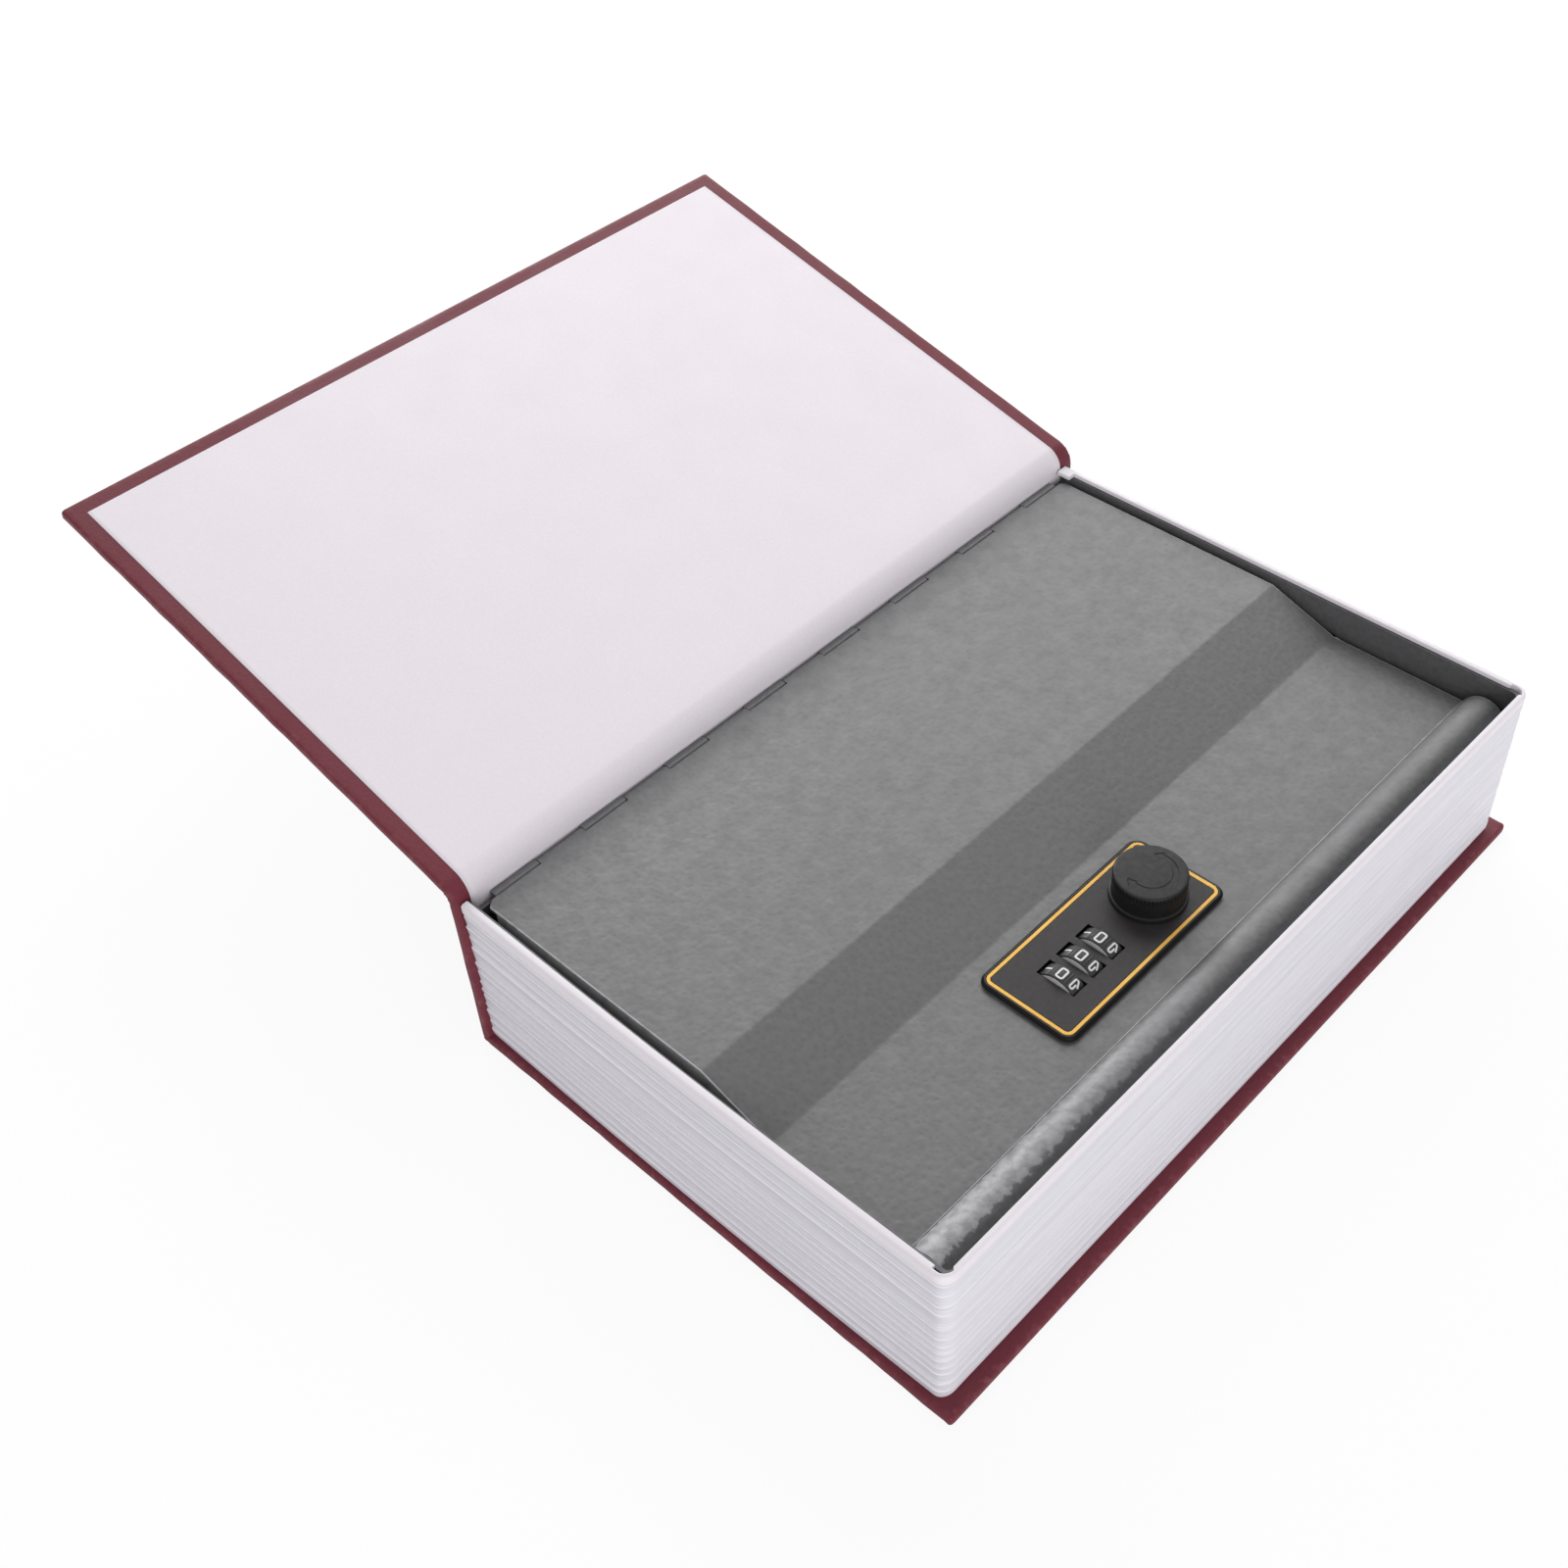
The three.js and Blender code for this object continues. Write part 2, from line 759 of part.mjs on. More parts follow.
function lockCase() {
  const room = wheelRoom();
  const body = slab(
    [plateCentreX - caseWidth / 2, caseTail, caseBottom],
    [plateCentreX + caseWidth / 2, caseHead, flatTop],
  );
  const reach = wheelRadius + wheelRoomGap;
  const hollow = slab(
    [wheelX - reach - springRoom, room.tail, wheelZ - reach],
    [wheelX + reach, room.head, flatTop + through],
  );
  const axleHole = rod(
    axleRadius + runningGap / 2,
    room.tail - axleEnd - runningGap,
    room.head + axleEnd + runningGap,
    wheelX,
    wheelZ,
  );
  const spindleHole = post(
    spindleRadius + spindleGap,
    caseBottom - through,
    flatTop + through,
    knobX,
    knobY,
  );
  return cut(body, [hollow, axleHole, spindleHole]);
}

function wheelAxle() {
  const room = wheelRoom();
  return rod(axleRadius, room.tail - axleEnd, room.head + axleEnd, wheelX, wheelZ);
}

// Turned parts have a closed profile of [radius, along], carried round the Y axis.
function turned(profile, sides) {
  const points = [...profile, profile[0]].map(([radius, along]) => new THREE.Vector2(radius, along));
  return solid(new THREE.LatheGeometry(points, sides));
}

function numberWheel(y) {
  const half = wheelWidth / 2;
  const bore = axleRadius + runningGap;
  const discEnd = half + codeDiscWidth;
  const wheel = turned(
    [
      [bore, -half],
      [wheelRadius - wheelEdge, -half],
      [wheelRadius, -half + wheelEdge],
      [wheelRadius, half - wheelEdge],
      [wheelRadius - wheelEdge, half],
      [codeDiscRadius, half],
      [codeDiscRadius, discEnd],
      [wheelBossRadius, discEnd],
      [wheelBossRadius, discEnd + wheelBossWidth - runningGap],
      [bore, discEnd + wheelBossWidth - runningGap],
    ],
    fineSides,
  );
  const grooves = Array.from({ length: wheelNumbers }, (_, i) => {
    const geometry = new THREE.BoxGeometry(wheelGroove, wheelWidth + through, 2 * wheelGroove);
    geometry.translate(0, 0, wheelRadius);
    geometry.rotateY(((i + 0.5) * 2 * Math.PI) / wheelNumbers);
    return solid(geometry);
  });
  const gate = slab(
    [-codeDiscRadius - through, half, -gateWidth / 2],
    [gateDepth - codeDiscRadius, discEnd, gateWidth / 2],
  );
  return cut(wheel, [...grooves, gate]).translate([wheelX, y, wheelZ]);
}

function detentSpring() {
  const room = wheelRoom();
  const back = wheelX - wheelRadius - wheelRoomGap - springRoom + springGap;
  const low = wheelZ - springHeight / 2;
  const strip = slab(
    [back, room.tail + springGap, low],
    [back + springSheet, room.head - springGap, low + springHeight],
  );
  const fingers = wheelPlaces().map((y) =>
    slab(
      [back, y - springFinger / 2, wheelZ - springSheet],
      [wheelX - wheelRadius - springGap, y + springFinger / 2, wheelZ + springSheet],
    ),
  );
  return joined([strip, ...fingers]);
}

// Knob
const knobBottom = plateTop + knobGap;
const knobBody = knobBottom + knobFlangeHeight;
const knobTop = knobBottom + knobHeight;

function toothedRing() {
  const points = Array.from({ length: 2 * knobTeeth }, (_, i) => {
    const radius = knobRadius - (i % 2) * knobTooth;
    const angle = (i * Math.PI) / knobTeeth;
    return [radius * Math.cos(angle), radius * Math.sin(angle)];
  });
  return bevelled(shapeOf(points), knobBody, knobTop, knobTooth, 1);
}

// A band round the axis with a head at each end.
function turnArrow() {
  const depth = arrowDepth + knobDome;
  const options = { depth, bevelEnabled: false, curveSegments: 3 * cornerSteps };
  const band = new THREE.Shape();
  band.absarc(0, 0, arrowRadius + arrowLine / 2, -arrowSweep, arrowSweep, false);
  band.absarc(0, 0, arrowRadius - arrowLine / 2, arrowSweep, -arrowSweep, true);
  const heads = [1, -1].map((side) => {
    const tip = shapeOf([
      [arrowRadius - arrowHead, 0],
      [arrowRadius + arrowHead, 0],
      [arrowRadius, side * arrowHeadLength],
    ]);
    return solid(new THREE.ExtrudeGeometry(tip, options).rotateZ(side * arrowSweep));
  });
  return joined([solid(new THREE.ExtrudeGeometry(band, options)), ...heads]);
}

function knob() {
  const rim = knobRadius - knobTopRound;
  const profile = [
    [0, knobBottom],
    [knobFlangeRadius, knobBottom],
    [knobFlangeRadius, knobBody - knobNeck],
    [knobFlangeRadius - knobNeck, knobBody],
    [rim, knobBody],
    [rim, knobTop],
    [rim / 2, knobTop + knobDome * knobDomeShare],
    [0, knobTop + knobDome],
  ].map(([radius, along]) => new THREE.Vector2(radius, along));
  const cap = solid(new THREE.LatheGeometry(profile, fineSides).rotateX(Math.PI / 2));
  const boreTop = knobBottom + spindleInKnob + squareGap;
  const bore = post(spindleRadius + squareGap, knobBottom - through, boreTop, 0, 0);
  const arrow = turnArrow().translate([0, 0, knobTop - arrowDepth]);
  return cut(cap.add(toothedRing()), [bore, arrow]).translate([knobX, knobY, 0]);
}

function spindle() {
  const end = camBottom - nutHeight - threadEnd;
  const side = squareSide / 2;
  const square = slab(
    [knobX - side, knobY - side, camBottom + runningGap],
    [knobX + side, knobY + side, camTop + washerGap],
  );
  return joined([
    post(spindleRadius, camTop + washerGap / 2, knobBottom + spindleInKnob, knobX, knobY),
    square,
    post(threadRadius, end, camTop, knobX, knobY),
  ]);
}

function camWasher() {
  const low = camTop + washerGap;
  const disc = post(washerRadius, low, low + washerHeight, knobX, knobY, fineSides);
  return disc.subtract(post(spindleRadius + squareGap, low - through, caseBottom, knobX, knobY));
}

function latchCam() {
  const arm = new THREE.Shape();
  arm.absarc(0, 0, camRoot, 0, Math.PI);
  arm.absarc(0, camTip - camReach, camTip, Math.PI, 2 * Math.PI);
  const side = squareSide / 2 + squareGap;
  const hole = slab([-side, -side, camBottom - through], [side, side, camTop + through]);
  return upward(arm, camBottom, camTop).subtract(hole).translate([knobX, knobY, 0]);
}

function camNut() {
  const high = camBottom - runningGap / 2;
  const low = high - nutHeight;
  const hex = post(nutAcross / Math.sqrt(3), low, high, knobX, knobY, nutSides);
  return hex.subtract(post(threadRadius + squareGap, low - through, high + through, knobX, knobY));
}

// Materials
const finishes = {
  leatherette: { color: 0x74353f, roughness: 0.62, metalness: 0 },
  greyboard: { color: 0x8d8578, roughness: 0.9, metalness: 0 },
  paper: { color: 0xe8e4ea, roughness: 0.85, metalness: 0 },
  pages: { color: 0xe2e0e8, roughness: 0.5, metalness: 0 },
  hammered: { color: 0x8c8c8e, roughness: 0.38, metalness: 0.2 },
  steel: { color: 0xa6a8aa, roughness: 0.35, metalness: 0.9 },
  black: { color: 0x2a2a2b, roughness: 0.45, metalness: 0 },
  face: { color: 0x444243, roughness: 0.5, metalness: 0 },
  gold: { color: 0xf2c355, roughness: 0.4, metalness: 0.3 },
  foil: { color: 0xd9c48c, roughness: 0.35, metalness: 0.8 },
};

// Assembly
function piece(group, name, finish, body) {
  const mesh = new THREE.Mesh(geometryOf(body), new THREE.MeshStandardMaterial(finishes[finish]));
  mesh.name = name;
  group.add(mesh);
  return mesh;
}

function caseGroup() {
  const group = new THREE.Group();
  piece(group, "case_cloth", "leatherette", caseCloth());
  piece(group, "back_board", "greyboard", backBoard());
  piece(group, "spine_board", "greyboard", spineBoard());
  piece(group, "back_liner", "paper", backLiner());
  piece(group, "page_block", "pages", pageBlock());
  piece(group, "gutter_cloth", "leatherette", gutterCloth());
  piece(group, "gutter_endpaper", "paper", gutterEndpaper());
  return group;
}

function boxGroup() {
  const group = new THREE.Group();
  piece(group, "steel_box", "hammered", steelBox());
  piece(group, "hinge_pin", "steel", hingePin());
  piece(group, "keeper", "hammered", keeper());
  return group;
}

function lidGroup() {
  const group = new THREE.Group();
  piece(group, "lid_panel", "hammered", lidPanel());
  piece(group, "lock_plate", "face", lockPlate());
  piece(group, "border_line", "gold", borderLineRing());
  piece(group, "lock_case", "black", lockCase());
  const [tailScrew, headScrew] = screwPlaces();
  piece(group, "lock_screw_tail", "steel", lockScrew(tailScrew));
  piece(group, "lock_screw_head", "steel", lockScrew(headScrew));
  piece(group, "wheel_axle", "steel", wheelAxle());
  piece(group, "detent_spring", "steel", detentSpring());
  wheelPlaces().forEach((y, i) => piece(group, `wheel_${i + 1}`, "black", numberWheel(y)));
  return group;
}

function knobGroup() {
  const group = new THREE.Group();
  piece(group, "knob", "black", knob());
  piece(group, "spindle", "steel", spindle());
  piece(group, "cam_washer", "steel", camWasher());
  piece(group, "latch_cam", "steel", latchCam());
  piece(group, "cam_nut", "steel", camNut());
  return group;
}

// The cover's pieces are drawn closed and turned open about the cloth joint.
function coverGroup() {
  const group = new THREE.Group();
  const pieces = [
    piece(group, "front_cloth", "leatherette", frontCloth()),
    piece(group, "front_board", "greyboard", frontBoard()),
    piece(group, "front_endpaper", "paper", frontEndpaper()),
    piece(group, "foil_frame", "foil", foilFrame()),
  ];
  pieces.forEach((mesh) => mesh.position.set(-coverAxisX, 0, -coverAxisZ));
  group.position.set(coverAxisX, 0, coverAxisZ);
  group.rotation.y = -coverOpening;
  return group;
}

const book = new THREE.Group();
book.add(caseGroup(), boxGroup(), lidGroup(), knobGroup(), coverGroup());
book.position.set(-(spineOuter + caseForeEdge) / 2, -blockWidth / 2, boardThickness);

export default book;
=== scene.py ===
import json
import math

import bmesh
import bpy
import numpy as np
from mathutils import Matrix, Vector

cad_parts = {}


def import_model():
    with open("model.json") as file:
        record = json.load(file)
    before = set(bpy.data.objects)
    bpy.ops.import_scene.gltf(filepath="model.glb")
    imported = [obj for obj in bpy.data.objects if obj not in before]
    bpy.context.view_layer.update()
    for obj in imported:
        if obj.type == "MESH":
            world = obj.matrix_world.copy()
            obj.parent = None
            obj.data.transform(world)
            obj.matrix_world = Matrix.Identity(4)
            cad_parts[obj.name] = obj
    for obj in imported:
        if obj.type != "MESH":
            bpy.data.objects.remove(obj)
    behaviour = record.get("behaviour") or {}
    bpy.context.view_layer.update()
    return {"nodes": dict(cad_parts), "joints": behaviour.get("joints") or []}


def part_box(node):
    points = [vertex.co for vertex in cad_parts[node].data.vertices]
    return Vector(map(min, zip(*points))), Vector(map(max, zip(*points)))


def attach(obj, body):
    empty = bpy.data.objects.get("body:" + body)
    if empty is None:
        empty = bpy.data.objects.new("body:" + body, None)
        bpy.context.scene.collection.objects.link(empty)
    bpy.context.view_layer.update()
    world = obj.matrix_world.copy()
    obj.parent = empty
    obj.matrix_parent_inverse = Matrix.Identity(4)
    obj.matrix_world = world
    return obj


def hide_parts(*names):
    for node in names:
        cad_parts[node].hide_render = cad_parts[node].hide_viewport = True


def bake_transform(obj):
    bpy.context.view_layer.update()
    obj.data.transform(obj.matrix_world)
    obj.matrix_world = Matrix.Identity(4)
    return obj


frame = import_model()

MM = 0.001


# Places read from the frame
def corners(node):
    """A CAD node's lowest and highest corners."""
    low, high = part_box(node)
    return low / MM, high / MM


def joint(name):
    return next(item for item in frame["joints"] if item["name"] == name)


case_low, case_high = corners("case_cloth")
block_low, block_high = corners("page_block")
gutter_low = corners("gutter_cloth")[0]
box_low, box_high = corners("steel_box")
lid_low, lid_high = corners("lid_panel")
plate_high = corners("lock_plate")[1]
line_low, line_high = corners("border_line")
knob_low, knob_high = corners("knob")
cover_axis = Vector(joint("cover_hinge")["pos_m"]) / MM
cover_lean = math.radians(joint("cover_hinge")["range_deg"][1])
hinge_axis = Vector(joint("lid_hinge")["pos_m"]) / MM
board_thickness = block_low.z - case_low.z

# Meshes
join_distance = 0.002
plane_slack = 0.01
flat_angle = 1
sharp_angle = 32
eased_angle = 34
made_angle = 40
wall_angle = 50
digit_angle = 60
knob_angle = 30
finest_ease = 0.08
fine_ease = 0.12
box_ease = 0.18
keeper_ease = 0.2
lock_case_ease = 0.4
lid_ease = 0.42

# Case
spine_gap = 0.1
gutter_radius = 3.5
axis_below_face = 0.8
edge_round = 0.8
edge_turns = 4
gutter_turns = 12
wear_band = 1.2
full_wear_and_light = 1.0
face_wear = 0.6
worn_share = 0.2
plan_round = 1
spine_round = 1.3
station_spacing = 6
edge_wave = 0.1
edge_wave_turns = (2.3, 0.7)
thinnest_board = 1
endpaper_margin = 5
endpaper_rise = 0.14
endpaper_sink = 0.1
endpaper_drop = 6
board_drop = 10
gutter_skew = 0.5
gutter_back = (1.1, 0.5)

# Page block
block_corner = 3.6
tail_bow = (1.2, 0.9, 0.4)
fore_draw = 0.7
patch_length = 4.4
patch_reach = 3
patch_step = 0.05
foot_height = 0.5
foot_inset = 0.5
block_wall = 1
rim_band = 3.8
# Rows just below the rim: [inset, height above the band, painted shade]
rim_foot = [(0.12, 0.5, 0.3), (0, 1.2, 0)]
rim_round = 0.7
lip_reach = 0.75
lip_height = 1.2
lip_round = 0.25
notch_length = 4.1
notch_width = 2.4
leaf_shares = [3.2, 3.5, 4.6, 2.4, 3.2, 3, 2.7, 3.9, 3.5, 6.2, 3.6, 4, 3.8]
# A bundle of leaves from its foot up: [share of its height, share of the groove's depth, painted crest
# highlight]
leaf_shape = [(0, 1, 0), (0.15, 0.9, 0), (0.35, 0.66, 0), (0.55, 0.4, 0), (0.72, 0.18, 0)]
leaf_shape += [(0.84, 0.05, 0.2), (0.9, 0, 1), (0.94, 0.12, 1), (0.97, 0.5, 0.3)]
leaf_groove = 0.38
leaf_shade = 1.3
leaf_wave = 0.12
leaf_waves = [(31, 1.7), (12.5, 2.9)]
bundle_depth = 0.1
bundle_wave = (70, 2.1)
leaf_spacing = 4
fore_share = 0.3

# Steel box and lid
box_wall = 1.2
wall_slack = 0.1
box_stand_less = 0.85
bow_height = 5
lid_reach = 0.6
lid_edge = 0.5
knuckle_reach = 0.8
moving_knuckle_reach = 0.15
lip_length = 9.9
# Painted glint, a painted reflection on the lip's hinge side: shares across the lip where it starts, is
# full, begins to fall and ends
lip_glint = (-0.16, -0.08, 0.54, 0.66)
# Painted light on the lip's fore side: where it starts, where it is full, and its level
lip_painted_light = (0.74, 0.9, 0.55)
lid_flat = 44.1
crease_before_lip = 2.3
crease_width = 0.3
crease_height = 0.09
open_ended = ("lid_panel",)

# Lock
face_inset = 0.3
face_depth = 0.2
line_shrink = 0.12
level_normal = 0.02
wheel_radius = 6.7
wheel_bore = 1.6
wheel_width = 4.4
wheel_edge = 0.25
wheel_groove = 0.16
wheel_numbers = 10
columns_each_number = 20
groove_columns = (8, 12)
digit_width = 2.9
digit_height = 1.8
digit_line = 0.5
digit_round = 0.5
digit_rise = 0.03
digit_spacing = 0.3
longest_cut = 0.45
disc_radius = 6.25
disc_inner = 4.4
disc_bevel = 0.1
disc_rise = 0.06
disc_sink = 0.1
knob_teeth = 60
columns_each_tooth = 6
knob_tooth = 0.32
knob_tooth_length = 2.6
tooth_run_out = 0.5
knob_radius = 9.25
knob_foot = [(0.4, 0), (0.55, 0.15), (0.55, 0.75), (0.43, 1.05), (0.15, 1.2), (0, 1.25)]
knob_edge = [(0, -1.1, 1), (0, -0.5, 0.4), (-0.12, -0.25, 0), (-0.3, -0.06, 0)]
knob_top_round = 0.5
knob_crown = 0.2
crown_spacing = 0.4
centre_spacing = 0.8
centre_radius = 0.3
arrow_radius = 6
arrow_line = 1.5
arrow_depth = 0.18
arrow_head = 1.4
arrow_head_length = 2.4
arrow_sweep = math.radians(97)
arrow_steps = 8


# Materials
def colour(red, green, blue):
    """A colour as it looks on the screen, 0 to 255, in Blender's linear values."""
    def linear(value):
        share = value / 255
        return share / 12.92 if share <= 0.04045 else ((share + 0.055) / 1.055) ** 2.4
    return (linear(red), linear(green), linear(blue), 1)


def colours(**tones):
    return {name: colour(*tone) for name, tone in tones.items()}


class Nodes:
    """A node tree, with short calls that add nodes to it."""

    def __init__(self, tree):
        self.tree = tree

    def add(self, kind, inputs=None, **settings):
        node = self.tree.nodes.new("ShaderNode" + kind)
        for name, value in settings.items():
            setattr(node, name, value)
        for name, value in (inputs or {}).items():
            self.feed(node.inputs[name], value)
        return node

    def feed(self, socket, value):
        if isinstance(value, bpy.types.NodeSocket):
            self.tree.links.new(value, socket)
        else:
            socket.default_value = value

    def math(self, operation, first, second):
        return self.add("Math", {0: first, 1: second}, operation=operation).outputs[0]


class Paint(Nodes):
    """A material made of nodes."""

    def __init__(self, name, roughness, metallic=0.0):
        self.material = bpy.data.materials.new(name)
        self.material.use_nodes = True
        super().__init__(self.material.node_tree)
        self.shader = self.tree.nodes["Principled BSDF"]
        self.shader.inputs["Roughness"].default_value = roughness
        self.shader.inputs["Metallic"].default_value = metallic
        self.place = self.add("TexCoord").outputs["Object"]

    def stretched(self, x, y, z):
        return self.add("Mapping", {"Vector": self.place, "Scale": (x, y, z)}).outputs[0]

    def noise(self, scale, detail=2.0, place=None):
        inputs = {"Vector": place or self.place, "Scale": scale, "Detail": detail}
        return self.add("TexNoise", inputs).outputs["Fac"]

    def cells(self, scale):
        inputs = {"Vector": self.place, "Scale": scale}
        return self.add("TexVoronoi", inputs, feature="SMOOTH_F1").outputs["Distance"]

    def spread(self, value, low, high):
        """0 where value is at low, 1 at high, and even between them."""
        inputs = {"Value": value, "From Min": low, "From Max": high}
        return self.add("MapRange", inputs).outputs["Result"]

    def height(self, axis):
        """The place along X, Y or Z: 0, 1 or 2."""
        return self.add("SeparateXYZ", {"Vector": self.place}).outputs[axis]

    def attribute(self, name):
        return self.add("Attribute", attribute_name=name).outputs["Fac"]

    def mix(self, share, first, second):
        inputs = {0: share, 6: first, 7: second}
        return self.add("Mix", inputs, data_type="RGBA").outputs[2]

    def base(self, value):
        self.feed(self.shader.inputs["Base Color"], value)

    def rough(self, value):
        self.feed(self.shader.inputs["Roughness"], value)

    def shine(self, level):
        self.shader.inputs["Specular IOR Level"].default_value = level

    def bump(self, height, depth, under=None):
        """Relief of depth millimetres, over the relief under it."""
        inputs = {"Height": height, "Distance": depth * MM, "Strength": 1.0}
        if under:
            inputs["Normal"] = under
        normal = self.add("Bump", inputs).outputs["Normal"]
        self.feed(self.shader.inputs["Normal"], normal)
        return normal


# Tones are colours on the screen, and scales are those of a noise, in waves to a metre
def leatherette():
    tones = colours(dark=(100, 41, 51), light=(112, 48, 59), pore=(88, 36, 45), worn=(150, 86, 95))
    scales = {"cloud": 16, "pores": 1100, "specks": 420, "rough": 60, "weave": 2600}
    pore_share, worn_share, pore_depth, weave_depth = 0.55, 0.36, 0.04, 0.02
    paint = Paint("leatherette", 0.7)
    cloudy = paint.mix(paint.noise(scales["cloud"]), tones["dark"], tones["light"])
    pores = paint.cells(scales["pores"])
    grained = paint.mix(paint.spread(pores, 0.0, 0.35), tones["pore"], cloudy)
    shown = paint.mix(pore_share, cloudy, grained)
    specks = paint.spread(paint.noise(scales["specks"], 4), 0.5, 0.7)
    worn = paint.math("MULTIPLY", paint.attribute("wear_and_painted_light"), specks)
    paint.base(paint.mix(paint.math("MULTIPLY", worn, worn_share), shown, tones["worn"]))
    paint.rough(paint.spread(paint.noise(scales["rough"]), -1.0, 1.9))
    paint.shine(0.2)
    coarse = paint.bump(pores, pore_depth)
    paint.bump(paint.noise(scales["weave"], 3), weave_depth, coarse)
    return paint.material


def endpaper():
    tones = colours(cool=(221, 214, 221), warm=(225, 218, 225), fibre=(227, 221, 227))
    edge_tone = colour(196, 192, 200)
    scales = {"cloud": 7, "fibres": 1400, "rough": 80, "waves": 45, "grain": 1800}
    wave_depth, grain_depth = 0.012, 0.01
    paint = Paint("endpaper", 0.6)
    cloudy = paint.mix(paint.noise(scales["cloud"]), tones["cool"], tones["warm"])
    fibres = paint.spread(paint.noise(scales["fibres"], 4), 0.3, 0.7)
    toned = paint.mix(fibres, cloudy, tones["fibre"])
    paint.base(paint.mix(paint.attribute("wear_and_painted_light"), toned, edge_tone))
    paint.rough(paint.spread(paint.noise(scales["rough"]), -0.9, 1.9))
    paint.shine(0.35)
    soft = paint.bump(paint.noise(scales["waves"], 1), wave_depth)
    paint.bump(paint.noise(scales["grain"], 3), grain_depth, soft)
    return paint.material


def pages():
    """Moulded leaves, with fine strokes and lines along them, painted shade in the grooves and painted
    highlights on the crests.
    """
    tones = colours(dark=(214, 211, 220), light=(232, 229, 235), line=(205, 203, 211))
    tones |= colours(broad=(218, 216, 224), band=(226, 221, 227))
    tones |= colours(groove=(172, 169, 178), crest=(238, 235, 241))
    stretches = {"strokes": (60, 60, 1900), "sheets": (9, 9, 3600), "broad": (10, 10, 500)}
    groove_shade_share, crest_share, line_depth, grain_depth = 0.42, 0.75, 0.08, 0.01
    paint = Paint("pages", 0.55)
    strokes = paint.noise(1, 3, paint.stretched(*stretches["strokes"]))
    sheets = paint.noise(1, 2, paint.stretched(*stretches["sheets"]))
    broad = paint.noise(1, 3, paint.stretched(*stretches["broad"]))
    stroked = paint.spread(strokes, 0.3, 0.7)
    brushed = paint.mix(stroked, tones["dark"], tones["light"])
    lined = paint.mix(paint.spread(sheets, 0.36, 0.5), tones["line"], brushed)
    toned = paint.mix(paint.spread(broad, 0.3, 0.6), tones["broad"], lined)
    banded = paint.mix(paint.attribute("leaves"), tones["band"], toned)
    # Painted shade in the grooves, at the foot and below the rim, and painted highlights on the crests
    shade = paint.math("MULTIPLY", paint.attribute("shade"), groove_shade_share)
    shaded = paint.mix(shade, banded, tones["groove"])
    crest = paint.math("MULTIPLY", paint.attribute("crest"), crest_share)
    paint.base(paint.mix(crest, shaded, tones["crest"]))
    paint.rough(paint.spread(paint.noise(300), -0.7, 1.9))
    paint.shine(0.35)
    lines = paint.bump(paint.math("MULTIPLY", sheets, paint.attribute("leaves")), line_depth)
    paint.bump(paint.noise(900, 2), grain_depth, lines)
    return paint.material


def hammered_paint():
    """Grey paint with an orange-peel relief, pale where its marks give wear, painted light, and a
    painted glint that stands for the lip's reflection.
    """
    tones = colours(dark=(84, 84, 86), light=(92, 92, 93), dimple=(80, 80, 82))
    tones |= colours(glint=(176, 176, 180), worn=(196, 196, 198))
    scales = {"cloud": 14, "peel": 700, "worn": 300, "mottle": 460, "rough": 240}
    scales |= {"waves": 480, "grain": 1700}
    fade_from, fade_to, least_glint, mottle_share, worn_share = -0.01, -0.113, 0.05, 0.5, 0.7
    wave_depth, peel_depth, grain_depth = 0.1, 0.055, 0.012
    paint = Paint("hammered_paint", 0.26)
    cloudy = paint.mix(paint.noise(scales["cloud"]), tones["dark"], tones["light"])
    peel = paint.cells(scales["peel"])
    toned = paint.mix(paint.spread(peel, 0.1, 0.6), tones["dimple"], cloudy)
    # Wear, and on the lid also painted light and painted highlights, in patches
    wear_and_light_patches = paint.spread(paint.noise(scales["worn"], 3), 0.0, 0.5)
    worn = paint.math("MULTIPLY", paint.attribute("wear_and_painted_light"), wear_and_light_patches)
    # Painted glint: a mottled painted reflection on the lip's hinge side, strongest at the tail and
    # fading towards the head
    mottled = paint.spread(paint.noise(scales["mottle"], 2), 0.36, 0.6)
    fading = paint.math("ADD", paint.spread(paint.height(1), fade_from, fade_to), least_glint)
    mottle = paint.math("MULTIPLY", mottled, mottle_share)
    rough_edge = paint.math("ADD", paint.attribute("glint"), mottle)
    bright = paint.math("MULTIPLY", paint.spread(rough_edge, 0.55, 0.85), fading)
    glinted = paint.math("MULTIPLY", bright, paint.spread(mottled, -0.9, 1.4))
    banded = paint.mix(glinted, toned, tones["glint"])
    paint.base(paint.mix(paint.math("MULTIPLY", worn, worn_share), banded, tones["worn"]))
    paint.rough(paint.spread(paint.noise(scales["rough"]), -1.4, 2.4))
    paint.shine(0.7)
    waves = paint.bump(paint.noise(scales["waves"], 1), wave_depth)
    coarse = paint.bump(peel, peel_depth, waves)
    paint.bump(paint.noise(scales["grain"], 2), grain_depth, coarse)
    return paint.material


def bare_steel():
    drawn_out, relief = (300, 2400, 300), 0.01
    paint = Paint("bare_steel", 0.34, 1.0)
    drawn = paint.noise(1, 3, paint.stretched(*drawn_out))
    paint.base(paint.mix(drawn, colour(150, 152, 155), colour(188, 190, 192)))
    paint.rough(paint.spread(drawn, -0.5, 2.2))
    paint.bump(drawn, relief)
    return paint.material


def greyboard():
    fibre_scale, relief = 900, 0.05
    paint = Paint("greyboard", 0.9)
    fibres = paint.noise(fibre_scale, 4)
    paint.base(paint.mix(fibres, colour(122, 114, 102), colour(158, 150, 136)))
    paint.bump(fibres, relief)
    return paint.material


